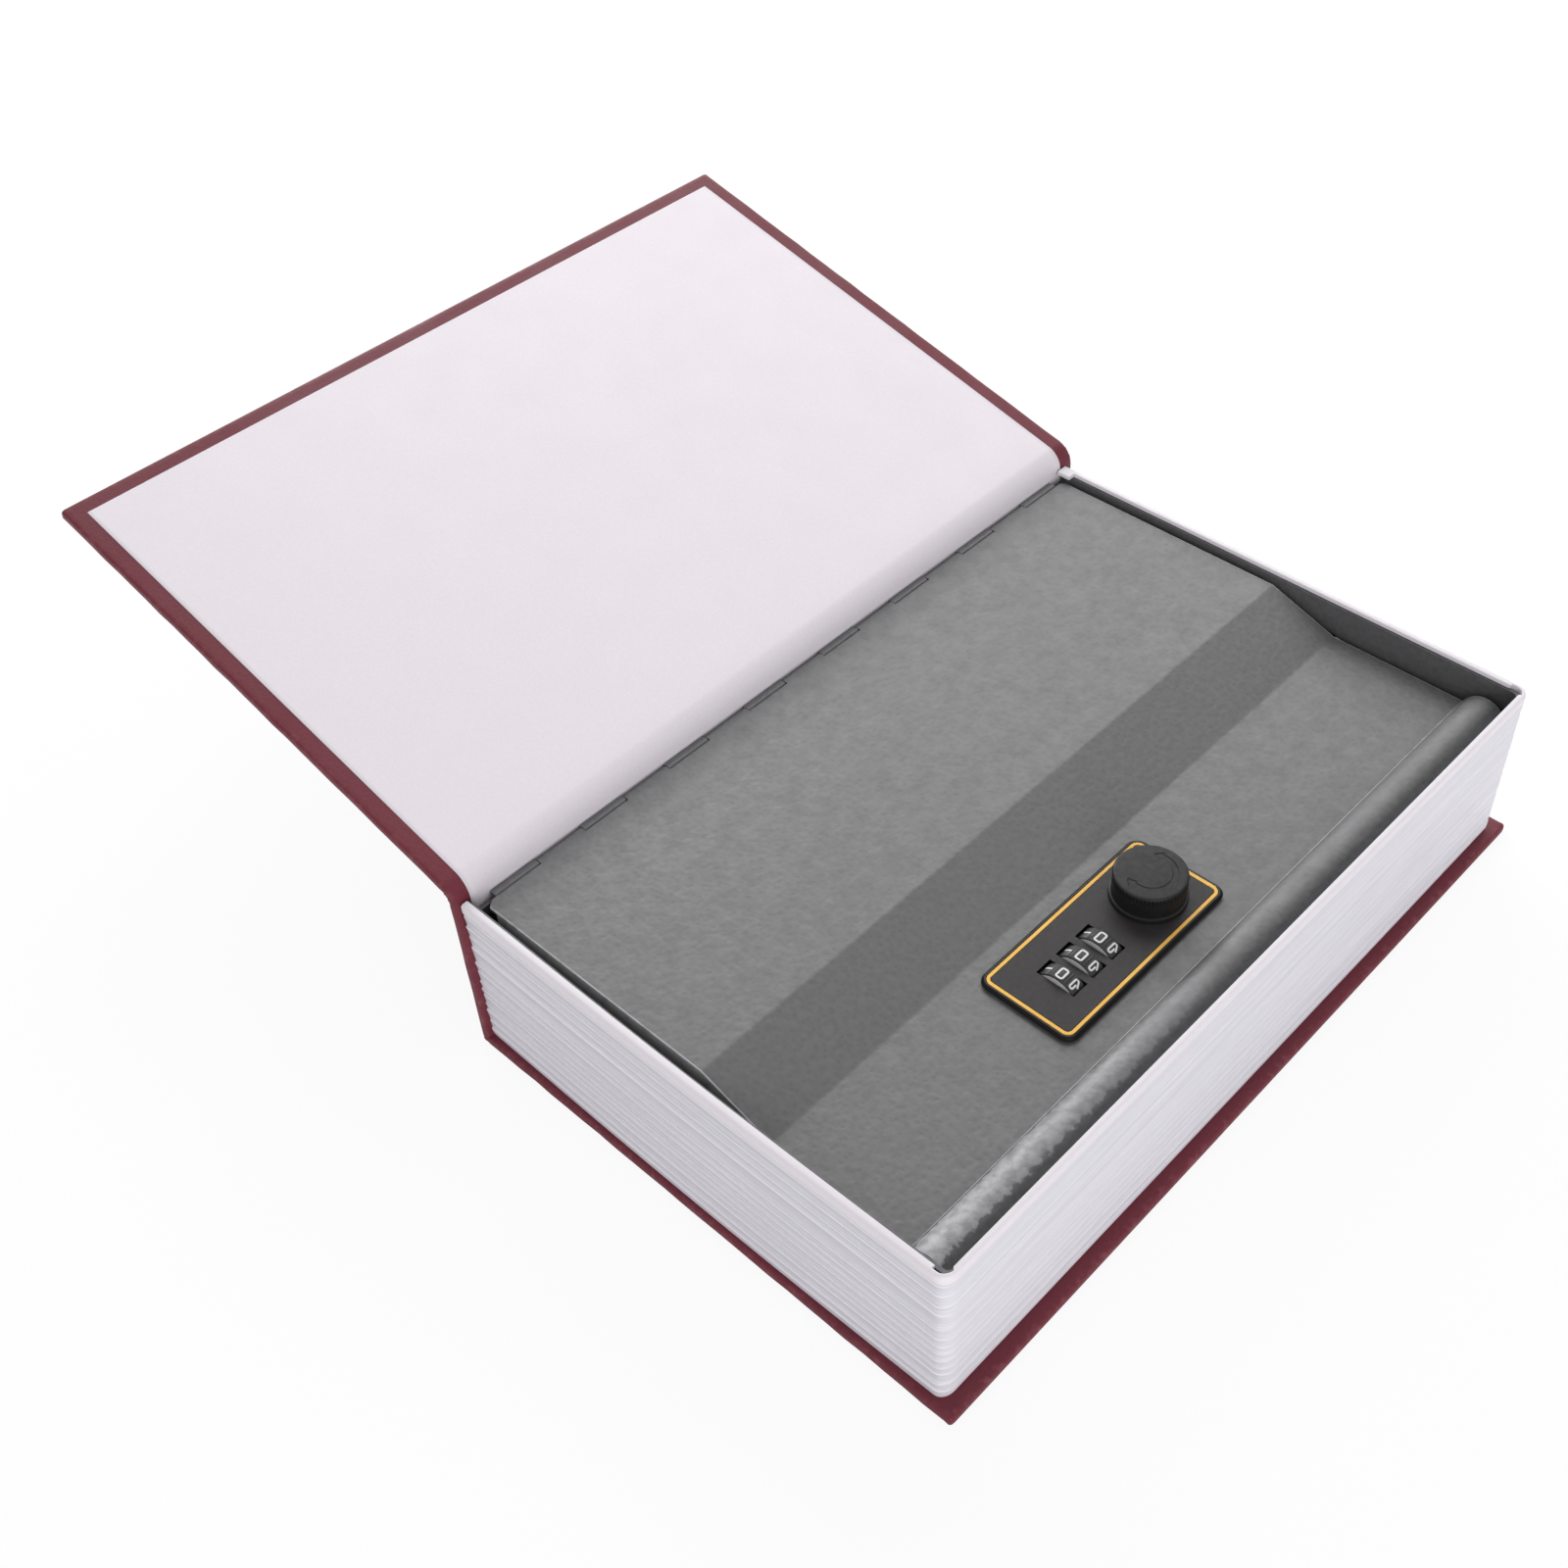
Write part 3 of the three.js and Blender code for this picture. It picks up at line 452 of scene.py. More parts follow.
# Plain finishes: [dark tone, light tone, roughness, metallic, shine, cloud, gloss, relief]. The last
# three are noises, given as scale and detail. After them come the ends of the spread that makes the
# roughness, and the relief's depth.
plain_finishes = {
    "black_plastic": (
        (14, 14, 15), (21, 21, 22), 0.38, 0, 0.12, (180, 2), (500, 3, -0.4, 1.9), (1800, 2, 0.012)
    ),
    "wheel_plastic": (
        (46, 46, 47), (58, 58, 59), 0.42, 0, 0.25, (400, 3), (900, 3, -0.5, 1.9), (2600, 2, 0.01)
    ),
    "knob_plastic": (
        (21, 21, 22), (27, 27, 28), 0.5, 0, 0.24, (200, 3), (700, 3, -0.6, 1.8), (3200, 2, 0.015)
    ),
    "plate_plastic": (
        (42, 39, 40), (50, 47, 48), 0.5, 0, 0.22, (120, 3), (900, 3, -0.7, 1.9), (4200, 2, 0.015)
    ),
    "gold_paint": (
        (226, 166, 52), (244, 194, 84), 0.45, 0, 0.4, (300, 3), (800, 2, -0.5, 2.0), (1500, 2, 0.02)
    ),
    "digit_paint": (
        (206, 206, 204), (230, 230, 228), 0.5, 0, 0.3, (900, 3), (1500, 2, -0.6, 1.8), None
    ),
    "silver_disc": (
        (190, 190, 192), (214, 214, 216), 0.5, 0.2, None, (700, 3), (1300, 2, -0.6, 2.0), None
    ),
    "foil": (
        (212, 186, 182), (232, 212, 206), 0.38, 0.5, None, (260, 4), (700, 2, -0.3, 1.8), (1100, 2, 0.02)
    ),
}


def plain(name):
    dark, light, roughness, metallic, shine, cloud, gloss, relief = plain_finishes[name]
    paint = Paint(name, roughness, metallic)
    paint.base(paint.mix(paint.noise(*cloud), colour(*dark), colour(*light)))
    scale, detail, low, high = gloss
    paint.rough(paint.spread(paint.noise(scale, detail), low, high))
    if shine:
        paint.shine(shine)
    if relief:
        scale, detail, depth = relief
        paint.bump(paint.noise(scale, detail), depth)
    return paint.material


leatherette_material = leatherette()
endpaper_material = endpaper()
pages_material = pages()
paint_material = hammered_paint()
steel_material = bare_steel()
black_material = plain("black_plastic")
wheel_material = plain("wheel_plastic")
knob_material = plain("knob_plastic")
plate_material = plain("plate_plastic")
gold_material = plain("gold_paint")
digit_material = plain("digit_paint")
silver_material = plain("silver_disc")
greyboard_material = greyboard()
foil_material = plain("foil")


# Meshes
def grid_faces(rows, columns, closed=False):
    """Quads between the points of a grid numbered row by row; a closed row ends where it starts."""
    faces = []
    for row in range(rows - 1):
        for column in range(columns if closed else columns - 1):
            here = row * columns + column
            beside = row * columns + (column + 1) % columns
            faces.append((here, beside, beside + columns, here + columns))
    return faces


def end_faces(total, columns):
    """Faces over the first and the last row of a closed grid of so many points."""
    return [tuple(range(columns)), tuple(range(total - columns, total))]


def joined_points(mesh):
    """An open copy of a mesh whose points that meet are one."""
    work = bmesh.new()
    work.from_mesh(mesh)
    bmesh.ops.remove_doubles(work, verts=work.verts, dist=join_distance * MM)
    return work


def tidied(mesh):
    """Joins points that meet, and turns all faces outwards."""
    work = joined_points(mesh)
    bmesh.ops.recalc_face_normals(work, faces=work.faces)
    work.to_mesh(mesh)
    work.free()


def smoothed(mesh, angle):
    mesh.polygons.foreach_set("use_smooth", [True] * len(mesh.polygons))
    mesh.set_sharp_from_angle(angle=math.radians(angle))


def new_object(name, mesh, material):
    piece = bpy.data.objects.new(name, mesh)
    bpy.context.scene.collection.objects.link(piece)
    mesh.materials.append(material)
    return piece


def new_mesh(name, points, faces):
    """A mesh from points in millimetres."""
    mesh = bpy.data.meshes.new(name)
    mesh.from_pydata([tuple(MM * value for value in point) for point in points], [], faces)
    return mesh


def made(name, points, faces, material, marks=None, smooth_angle=made_angle):
    """A mesh piece, shaded smooth. Marks are named values at its points."""
    mesh = new_mesh(name, points, faces)
    for mark, values in (marks or {}).items():
        mesh.attributes.new(mark, "FLOAT", "POINT").data.foreach_set("value", values)
    tidied(mesh)
    smoothed(mesh, smooth_angle)
    return new_object(name, mesh, material)


def steps(start, end, spacing):
    """Even steps from start to end, no longer than spacing."""
    count = max(1, math.ceil(abs(end - start) / spacing))
    return [start + (end - start) * i / count for i in range(count + 1)]


def spoke(angle):
    """The direction at an angle from the first axis."""
    return Vector((math.cos(angle), math.sin(angle)))


def ramp(value, start, end):
    """0 up to start, 1 from end on, and even between them."""
    return max(0, min(1, (value - start) / (end - start)))


def rounding(radius, turns):
    """Points of a rounded edge, from the edge to the face: [how far in, how far down]."""
    angles = [math.pi / 2 * (1 - i / turns) for i in range(turns + 1)]
    return [(radius * (1 - math.sin(a)), radius * (1 - math.cos(a))) for a in angles]


# Case: each station has its inner and outer point in X and Z, and its distance from a fore-edge
spine_inner = block_low.x - spine_gap
spine_outer = spine_inner - board_thickness
gutter_centre = Vector((spine_outer - gutter_radius, gutter_low.z))
cover_along = Vector((-math.cos(cover_lean), math.sin(cover_lean)))
cover_normal = Vector((math.sin(cover_lean), math.cos(cover_lean)))
far_from_edge = 1000
board_top = gutter_centre.y - board_drop


def fore_distances(start, length):
    near = [along for along, _ in rounding(edge_round, edge_turns)] + [edge_round + wear_band]
    before = [start, *(along for along in near if along > start)]
    return [*before, *steps(before[-1], length, station_spacing)[1:]]


def back_stations():
    stations = []
    for distance in fore_distances(0, case_high.x - spine_inner):
        x = case_high.x - distance
        stations.append((Vector((x, block_low.z)), Vector((x, case_low.z)), distance))
    return stations


def corner_stations():
    inner = Vector((spine_inner, block_low.z))
    centre = Vector((spine_outer + spine_round, case_low.z + spine_round))
    stations = []
    for i in range(edge_turns + 1):
        outer = centre + spine_round * spoke(math.pi / 2 * (3 - i / edge_turns))
        stations.append((inner, outer, far_from_edge))
    return stations


def spine_stations(start):
    stations = []
    for z in steps(start, gutter_centre.y, station_spacing):
        stations.append((Vector((spine_inner, z)), Vector((spine_outer, z)), far_from_edge))
    return stations


def gutter_stations():
    stations = []
    for i in range(gutter_turns + 1):
        out = spoke((math.pi / 2 - cover_lean) * i / gutter_turns)
        inner = gutter_centre + (gutter_radius + board_thickness) * out
        stations.append((inner, gutter_centre + gutter_radius * out, far_from_edge))
    return stations


def cover_point(along, over_face):
    """A point on the open cover, along it from its joint and over its outer face."""
    joint_place = Vector((cover_axis.x, cover_axis.z))
    return joint_place + along * cover_along + (over_face - axis_below_face) * cover_normal


def cover_stations(start):
    length = case_high.x - cover_axis.x
    gutter_end = gutter_stations()[-1][1]
    run = (gutter_end - cover_point(0, 0)).dot(cover_along)
    stations = []
    for distance in reversed(fore_distances(start, length - run)):
        along = length - distance
        stations.append((cover_point(along, board_thickness), cover_point(along, 0), distance))
    return stations


def cross_section(tail, head, edge):
    """Points round a board from tail to head on its inner side and back: [y, side, depth, wear]."""
    near = []
    for along, depth in rounding(edge, edge_turns):
        near.append((along, depth, full_wear_and_light if depth > edge * worn_share else face_wear))
    near.append((edge + wear_band, 0, 0))
    one_side = [(tail + along, depth, wear_and_painted_light) for along, depth, wear_and_painted_light in near]
    start, end = tail + edge + wear_band, head - edge - wear_band
    one_side += [(y, 0, 0) for y in steps(start, end, station_spacing)[1:-1]]
    one_side += [(head - along, depth, wear_and_painted_light) for along, depth, wear_and_painted_light in reversed(near)]
    inner = [(y, 0, depth, wear_and_painted_light) for y, depth, wear_and_painted_light in one_side]
    outer = [(y, 1, depth, wear_and_painted_light) for y, depth, wear_and_painted_light in reversed(one_side)]
    return inner + outer


def drawn_in(distance, radius):
    """How far a corner or edge of this radius draws in at a distance from its end."""
    if distance >= radius:
        return 0
    return radius - math.sqrt(radius**2 - (radius - distance) ** 2)


def stood_back(y):
    """How far the gutter's inner side stands back from the lid's hinge, along the book."""
    tail_share = (case_high.y - y) / (case_high.y - case_low.y)
    at_head, at_tail = gutter_back
    from_end = min(y - case_low.y, case_high.y - y) - edge_round - wear_band
    inside = ramp(from_end, 0, station_spacing)
    return gutter_skew * tail_share + inside * (at_head + (at_tail - at_head) * tail_share)


def skewed(place, y):
    """A point of the gutter, stood back from the lid's hinge."""
    above = (place.y - board_top) / station_spacing
    beyond = (place.x - (spine_outer - gutter_radius)) / (gutter_radius + board_thickness)
    share = ramp(above, 0, 1) * ramp(beyond, 0, 1)
    return place - Vector((stood_back(y) * share, 0))


def ribbon(name, stations, tail, head, edge, wave, material):
    """A closed board or sheet that follows the stations.

    At the gutter a board stands back on its inner side only, and a thin sheet on both its sides.
    """
    section = cross_section(tail, head, edge)
    middle = (tail + head) / 2
    quick, slow = edge_wave_turns
    points, marks = [], []
    for index, (inner, outer, distance) in enumerate(stations):
        through = outer - inner
        uneven = wave * math.sin(quick * index) * math.sin(slow * index + 1)
        draw = drawn_in(distance, plan_round) + uneven
        sink = drawn_in(distance, edge)
        for y, side, depth, wear_and_painted_light in section:
            share = min((depth + sink) / through.length, 0.5)
            place = inner + through * (1 - share if side else share)
            if not side or through.length <= thinnest_board:
                place = skewed(place, y)
            shift = draw * (middle - y) / (middle - tail)
            points.append((place.x, y + shift, place.y))
            marks.append(full_wear_and_light if distance <= edge else wear_and_painted_light)
    count = len(section)
    faces = grid_faces(len(stations), count, closed=True)
    for first in (0, (len(stations) - 1) * count):
        for i in range(count // 2 - 1):
            far = first + count - 1 - i
            faces.append((first + i, first + i + 1, far - 1, far))
    return made(name, points, faces, material, {"wear_and_painted_light": marks})


def bend_over_gutter(piece):
    """Bakes the piece's placement into its points."""
    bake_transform(piece)


def case_skin():
    stations = [*back_stations(), *corner_stations(), *spine_stations(block_low.z)]
    stations += [*gutter_stations()[1:-1], *cover_stations(0)]
    tail, head = case_low.y, case_high.y
    skin = ribbon("case_skin", stations, tail, head, edge_round, edge_wave, leatherette_material)
    bend_over_gutter(skin)
    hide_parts("case_cloth", "front_cloth", "gutter_cloth")


def paper_station(inner, outer):
    out = (inner - outer).normalized()
    return inner + endpaper_rise * out, inner - endpaper_sink * out, far_from_edge


def endpaper_sheet():
    stations = spine_stations(gutter_centre.y - endpaper_drop)
    stations += [*gutter_stations()[1:-1], *cover_stations(endpaper_margin)]
    tail = case_low.y + endpaper_margin
    head = case_high.y - endpaper_margin
    papers = [paper_station(inner, outer) for inner, outer, *_ in stations]
    sheet = ribbon("endpaper_sheet", papers, tail, head, endpaper_sink, 0, endpaper_material)
    bend_over_gutter(sheet)
    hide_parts("front_endpaper", "gutter_endpaper")


# Page block: a profile carried round the tail, fore-edge and head
def block_path():
    """Points on the block's outside: [x, y, out x, out y, lip share, leaf share]."""
    fore, tail, head = block_high.x, block_low.y, block_high.y
    notch_x = fore - block_wall - notch_length
    notch_tail = tail + block_wall + notch_width
    notch_head = head - block_wall - notch_width
    path = [(x, tail, 0, -1, 1, 1) for x in steps(block_low.x, notch_x, leaf_spacing)]
    path += [(x, tail, 0, -1, 0, 1) for x in (notch_x, fore - block_corner)]
    path += corner_path(fore - block_corner, tail + block_corner, -math.pi / 2)
    fore_side = steps(tail + block_corner, head - block_corner, leaf_spacing)
    path += [(fore, y, 1, 0, 1, fore_share) for y in fore_side]
    path += corner_path(fore - block_corner, head - block_corner, 0)
    path += [(x, head, 0, 1, 0, 1) for x in (fore - block_corner, notch_x)]
    patch_start = block_low.x + patch_length
    path += [(x, head, 0, 1, 1, 1) for x in steps(notch_x, patch_start, leaf_spacing)]
    path += [(x, head, 0, 1, 1, 1) for x in (patch_start - patch_step, block_low.x)]
    return path, (notch_tail, notch_head)


def tail_stand(x):
    """How far the tail wall stands out at a place along it."""
    share = (block_high.x - x) / (block_high.x - block_low.x)
    level, swell, lean = tail_bow
    return level + swell * math.sin(math.pi * share) + lean * share


def bowed(x, y):
    """The thin tail wall stands out from the box, and the fore wall draws in towards the tail."""
    near_tail = 1 - (y - block_low.y) / (block_high.y - block_low.y)
    out = tail_stand(x)
    tail_share = max(0, 1 - (y - block_low.y) / (2 * block_corner))
    fore_share_here = max(0, 1 - (block_high.x - x) / (2 * block_corner))
    return x - fore_draw * near_tail * fore_share_here, y - out * tail_share


def corner_path(x, y, start):
    turns = 2 * edge_turns
    path = []
    for i in range(1, turns):
        angle = start + math.pi / 2 * i / turns
        out = (math.cos(angle), math.sin(angle))
        leaf = fore_share + (1 - fore_share) * abs(out[1]) ** 2
        path.append((x + block_corner * out[0], y + block_corner * out[1], *out, 0, leaf))
    return path


def leaf_edges():
    """The heights where one bundle of leaves ends and the next begins."""
    height = block_high.z - block_low.z - rim_band
    return np.concatenate([[0], np.cumsum(leaf_shares)]) / sum(leaf_shares) * height


def leaf_column(travel):
    """Up the leaves, at a distance along the block: [height, inset, painted shade, painted crest
    highlight].
    """
    edges = leaf_edges()
    numbers = np.arange(len(edges))
    wave = leaf_wave * sum(np.sin(travel / length + turn * numbers) for length, turn in leaf_waves)
    wave[[0, -1]] = 0
    edges = edges + wave
    length, turn = bundle_wave
    column = []
    for k in range(len(edges) - 1):
        least = bundle_depth * (1 + math.sin(turn * k + travel / length))
        for share, inset, crest in leaf_shape:
            height = edges[k] + share * (edges[k + 1] - edges[k])
            shade = min(1, leaf_shade * share) * (1 - crest)
            column.append((height, least + (leaf_groove - least) * inset, shade, crest))
    return column


def block_profile(travel, lip_share, leaf_share):
    """The wall from its foot outside, over the rim, to its foot inside.

    Its points are [inset, height, painted shade, painted crest highlight, leaves], and it has as many at
    every travel.
    """
    height = block_high.z - block_low.z
    # Painted shade along the foot, where the block meets the board
    profile = [(foot_inset, 0, 1, 0, 1), (foot_inset, foot_height / 2, 1, 0, 1)]
    over_foot = sum(at > foot_height for at, *_ in leaf_column(0))
    profile += [
        (inset * leaf_share, max(at, foot_height), shade * leaf_share, crest * leaf_share, 1)
        for at, inset, shade, crest in leaf_column(travel)[-over_foot:]
    ]
    band = height - rim_band
    # Painted shade just below the rim, fading upwards
    profile.append((leaf_groove * leaf_share, band, 1, 0, 1))
    profile += [(inset * leaf_share, band + up, shade, 0, 0) for inset, up, shade in rim_foot]
    top = [(along, height - depth) for along, depth in rounding(rim_round, edge_turns)]
    reach = block_wall + lip_reach * lip_share
    drop = lip_height if lip_share else lip_height / 2
    top += [(reach - along, height - depth) for along, depth in reversed(rounding(lip_round, 2))]
    top += [(reach, height - drop), (block_wall, height - drop), (block_wall, 0)]
    return profile + [(inset, at, 0, 0, 0) for inset, at in top]


def lip_at(x, y, out, share, notches):
    """How far the rim's lip reaches in: not in the notches, and more at the head corner."""
    out_x, out_y = out
    if out_y == 1 and x < block_low.x + patch_length:
        return patch_reach / lip_reach
    in_notch = out_x != 0 and not notches[0] <= y <= notches[1]
    return 0 if in_notch else share


def page_walls():
    path, notches = block_path()
    points = []
    marks = {"shade": [], "crest": [], "leaves": []}
    travel = 0
    previous = path[0]
    for x, y, out_x, out_y, lip, leaf_share in path:
        travel += math.hypot(x - previous[0], y - previous[1])
        previous = (x, y)
        lip_share = lip_at(x, y, (out_x, out_y), lip, notches)
        for inset, height, *values in block_profile(travel, lip_share, leaf_share):
            place = bowed(x - inset * out_x, y - inset * out_y)
            points.append((*place, block_low.z + height))
            for mark, value in zip(marks.values(), values):
                mark.append(float(value))
    count = len(points) // len(path)
    faces = grid_faces(len(path), count, closed=True) + end_faces(len(points), count)
    walls = made("page_walls", points, faces, pages_material, marks, smooth_angle=wall_angle)
    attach(walls, "case")
    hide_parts("page_block")


# Rigid CAD nodes with their edges eased
def merged_copy(node):
    """The node's mesh with its split points joined and its flat faces made whole."""
    mesh = frame["nodes"][node].data.copy()
    work = joined_points(mesh)
    limit = math.radians(flat_angle)
    bmesh.ops.dissolve_limit(work, angle_limit=limit, verts=work.verts, edges=work.edges)
    return mesh, work


def is_sharp(edge):
    return len(edge.link_faces) == 2 and edge.calc_face_angle(0) > math.radians(sharp_angle)


def in_end_plane(edge, tail, head):
    """Whether an edge lies in the plane of its node's tail or head end."""
    places = [vertex.co.y / MM for vertex in edge.verts]
    return max(places) < tail + plane_slack or min(places) > head - plane_slack


def refined(node, body, material, ease, turns=2):
    """A copy of a CAD node whose sharp edges are rounded by ease millimetres and marked for wear, which
    on the grey paint also stands for painted edge highlights.
    """
    mesh, work = merged_copy(node)
    wear_and_painted_light = work.loops.layers.float.new("wear_and_painted_light")
    low, high = corners(node)
    for at_ends in (True, False):
        sharp = [e for e in work.edges if is_sharp(e) and in_end_plane(e, low.y, high.y) == at_ends]
        made_faces = bmesh.ops.bevel(
            work,
            geom=sharp,
            offset=ease * MM,
            segments=turns,
            profile=0.5,
            affect="EDGES",
            clamp_overlap=not (at_ends and node in open_ended),
        )["faces"]
        for face in made_faces:
            for loop in face.loops:
                loop[wear_and_painted_light] = full_wear_and_light
    work.to_mesh(mesh)
    work.free()
    if mesh.has_custom_normals:
        mesh.attributes.remove(mesh.attributes["custom_normal"])
    smoothed(mesh, eased_angle)
    mesh.materials.clear()
    piece = new_object(node + "_eased", mesh, material)
    even = piece.modifiers.new("even_flats", "WEIGHTED_NORMAL")
    even.weight = 100
    even.keep_sharp = True
    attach(piece, body)
    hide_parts(node)
    return piece


def painted(node, body, ease):
    return refined(node, body, paint_material, ease)


def drawn_lid():
    """The lid, with its tail edge a little nearer to the wall, and its tail face pale in patches, as
    painted wear and a painted highlight.
    """
    lid = painted("lid_panel", "lid", lid_ease)
    wear_and_painted_light = lid.data.attributes["wear_and_painted_light"].data
    # The tail face gets the full mark: wear, and a painted highlight on the tail edge
    for face in lid.data.polygons:
        if face.center.y < MM * (lid_low.y + plane_slack):
            for loop in face.loop_indices:
                wear_and_painted_light[loop].value = full_wear_and_light
    for vertex in lid.data.vertices:
        if vertex.co.y < MM * (lid_low.y + lid_edge):
            vertex.co.y -= MM * lid_reach
    wider_knuckles(lid, moving_knuckle_reach)
    lip_marks(lid.data)


def crease_highlight():
    """A fine raised crease along the lid, before its lip, pale all over as a painted highlight of the
    bend.
    """
    centre = lid_high.x - lip_length - crease_before_lip
    foot = lid_flat - crease_height
    half = crease_width / 2
    section = [(-half, 0), (-half, crease_height), (-half / 3, 2 * crease_height)]
    section += [(half / 3, 2 * crease_height), (half, crease_height), (half, 0)]
    places = steps(lid_low.y + lid_edge, lid_high.y - lid_edge, station_spacing)
    points = [(centre + across, y, foot + up) for y in places for across, up in section]
    count = len(section)
    faces = grid_faces(len(places), count, closed=True) + end_faces(len(points), count)
    # Painted highlight: the whole crease gets the full mark
    wear_and_painted_light = [full_wear_and_light] * len(points)
    crease = made("crease_highlight", points, faces, paint_material, {"wear_and_painted_light": wear_and_painted_light})
    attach(crease, "lid")


def wider_knuckles(piece, reach):
    """The hinge's rolled ends reach a little further towards the spine."""
    for vertex in piece.data.vertices:
        x, _, z = vertex.co / MM
        if x < hinge_axis.x and z > hinge_axis.z - reach:
            vertex.co.x -= MM * reach * min(1, (hinge_axis.x - x) / reach)


def lip_marks(mesh):
    """Marks a painted glint, a painted reflection, on the lip's hinge side, and painted light on its
    fore side, standing for the light of the white wall beside it.
    """
    glint = mesh.attributes.new("glint", "FLOAT", "CORNER").data
    wear_and_painted_light = mesh.attributes["wear_and_painted_light"].data
    start, full, falls, end = lip_glint
    lit_start, lit_full, level = lip_painted_light
    for face in mesh.polygons:
        for loop in face.loop_indices:
            x = mesh.vertices[mesh.loops[loop].vertex_index].co.x / MM
            share = (x - lid_high.x + lip_length) / lip_length
            glint[loop].value = min(ramp(share, start, full), ramp(share, end, falls))
            # Painted light on the fore side, kept in the same mark as wear
            lit = ramp(share, lit_start, lit_full) * level
            wear_and_painted_light[loop].value = max(wear_and_painted_light[loop].value, lit)


def bowed_box():
    """The steel box, with its tail wall bowed a little too."""
    box = painted("steel_box", "case", box_ease)
    work = bmesh.new()
    work.from_mesh(box.data)
    for x in steps(box_low.x, box_high.x, 2 * leaf_spacing)[1:-1]:
        geometry = [*work.verts, *work.edges, *work.faces]
        bmesh.ops.bisect_plane(work, geom=geometry, plane_co=(x * MM, 0, 0), plane_no=(1, 0, 0))
    for vertex in work.verts:
        x, y, z = vertex.co / MM
        if y < box_low.y + box_wall + wall_slack:
            out = max(0, tail_stand(x) - box_stand_less)
            vertex.co.y -= MM * out * min(1, (z - box_low.z) / bow_height)
    work.to_mesh(box.data)
    work.free()
    wider_knuckles(box, knuckle_reach)


def gold_ring():
    """The gold line, narrower than its groove."""
    ring = refined("border_line", "lid", gold_material, fine_ease)
    for vertex in ring.data.vertices:
        sideways = Vector((vertex.normal.x, vertex.normal.y, 0))
        if sideways.length > level_normal:
            vertex.co -= MM * line_shrink * sideways.normalized()


def eased_nodes():
    bowed_box()
    painted("keeper", "case", keeper_ease)
    drawn_lid()
    crease_highlight()
    refined("lock_case", "lid", black_material, lock_case_ease)
    gold_ring()
    for node in ("lock_screw_tail", "lock_screw_head", "detent_spring"):
        refined(node, "lid", steel_material, finest_ease, 1)
    for node in ("spindle", "cam_washer", "latch_cam", "cam_nut"):
        refined(node, "turn_knob", steel_material, fine_ease, 1)


def lock_face():
    """The lock plate: satin inside the gold line and glossy black outside it."""
    plate = refined("lock_plate", "lid", plate_material, fine_ease)
    plate.data.materials.append(black_material)
    for polygon in plate.data.polygons:
        centre = polygon.center / MM
        inside_x = line_low.x + face_inset < centre.x < line_high.x - face_inset
        inside_y = line_low.y + face_inset < centre.y < line_high.y - face_inset
        shows_face = inside_x and inside_y and centre.z > plate_high.z - face_depth
        polygon.material_index = 0 if shows_face else 1


def short_board():
    """The spine board ends below the place where the gutter's inner side stands back."""
    mesh = frame["nodes"]["spine_board"].data.copy()
    for vertex in mesh.vertices:
        vertex.co.z = min(vertex.co.z, MM * board_top)
    mesh.materials.clear()
    board = new_object("spine_board_short", mesh, greyboard_material)
    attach(board, "case")
    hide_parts("spine_board")


def painted_nodes():
    """CAD nodes whose shape stays."""
    finishes = {
        "back_board": greyboard_material,
        "front_board": greyboard_material,
        "back_liner": endpaper_material,
        "hinge_pin": steel_material,
        "wheel_axle": steel_material,
        "foil_frame": foil_material,
    }
    for node, material in finishes.items():
        data = frame["nodes"][node].data
        data.materials.clear()
        data.materials.append(material)


# Number wheels
# Each number is a line through points of a box one wide and one high, and a repeated first point
# closes it.
digit_lines = [
    [(0, 0), (1, 0), (1, 1), (0, 1), (0, 0)],
    [(0.5, -0.15), (0.5, 1.1)],
    [(0, 0.72), (0, 1), (1, 1), (1, 0.55), (0, 0), (1, 0)],
    [(0, 1), (1, 1), (0.5, 0.58), (1, 0.5), (1, 0), (0, 0), (0, 0.2)],
    [(0.7, 0), (0.7, 1), (0, 0.28), (1, 0.28)],
    [(1, 1), (0.1, 1), (0, 0.55), (1, 0.55), (1, 0), (0, 0)],
    [(0.7, 1), (0, 0.45), (0, 0), (1, 0), (1, 0.5), (0.1, 0.5)],
    [(0, 1), (1, 1), (0.35, 0)],
    [(0, 0.52), (0, 1), (1, 1), (1, 0.52), (0, 0.52), (0, 0), (1, 0), (1, 0.52)],
    [(0.45, 0), (1, 0.55), (1, 1), (0, 1), (0, 0.45), (0.6, 0.45)],
]


def softened(points, radius):
    """A line with its corners rounded."""
    closed = points[0] == points[-1]
    line = [] if closed else [points[0]]
    last = len(points) - 1
    for i in range(0 if closed else 1, last):
        corner = points[i]
        back = (points[i - 1 if i else last - 1] - corner).normalized()
        ahead = (points[i + 1] - corner).normalized()
        reach = min(radius, longest_cut * (points[i + 1] - corner).length)
        start, end = corner + reach * back, corner + reach * ahead
        for step in range(edge_turns + 1):
            t = step / edge_turns
            line.append((1 - t) ** 2 * start + 2 * t * (1 - t) * corner + t**2 * end)
    line.append(line[0] if closed else points[-1])
    return line


def divided(line, spacing):
    """The same line with points no further apart than spacing."""
    close = [line[0]]
    for start, end in zip(line, line[1:]):
        count = max(1, math.ceil((end - start).length / spacing))
        close += [start + (end - start) * i / count for i in range(1, count + 1)]
    return close


def line_strip(line, width):
    """Left and right points along a line drawn with a pen."""
    strip = []
    closed = (line[0] - line[-1]).length < join_distance
    for i, point in enumerate(line):
        back = point - line[i - 1] if i else (point - line[-2] if closed else line[1] - point)
        ahead = line[i + 1] - point if i + 1 < len(line) else (line[1] - point if closed else back)
        way = (back.normalized() + ahead.normalized()).normalized()
        side = Vector((-way.y, way.x)) * width / 2
        strip.append((point + side, point - side))
    return strip


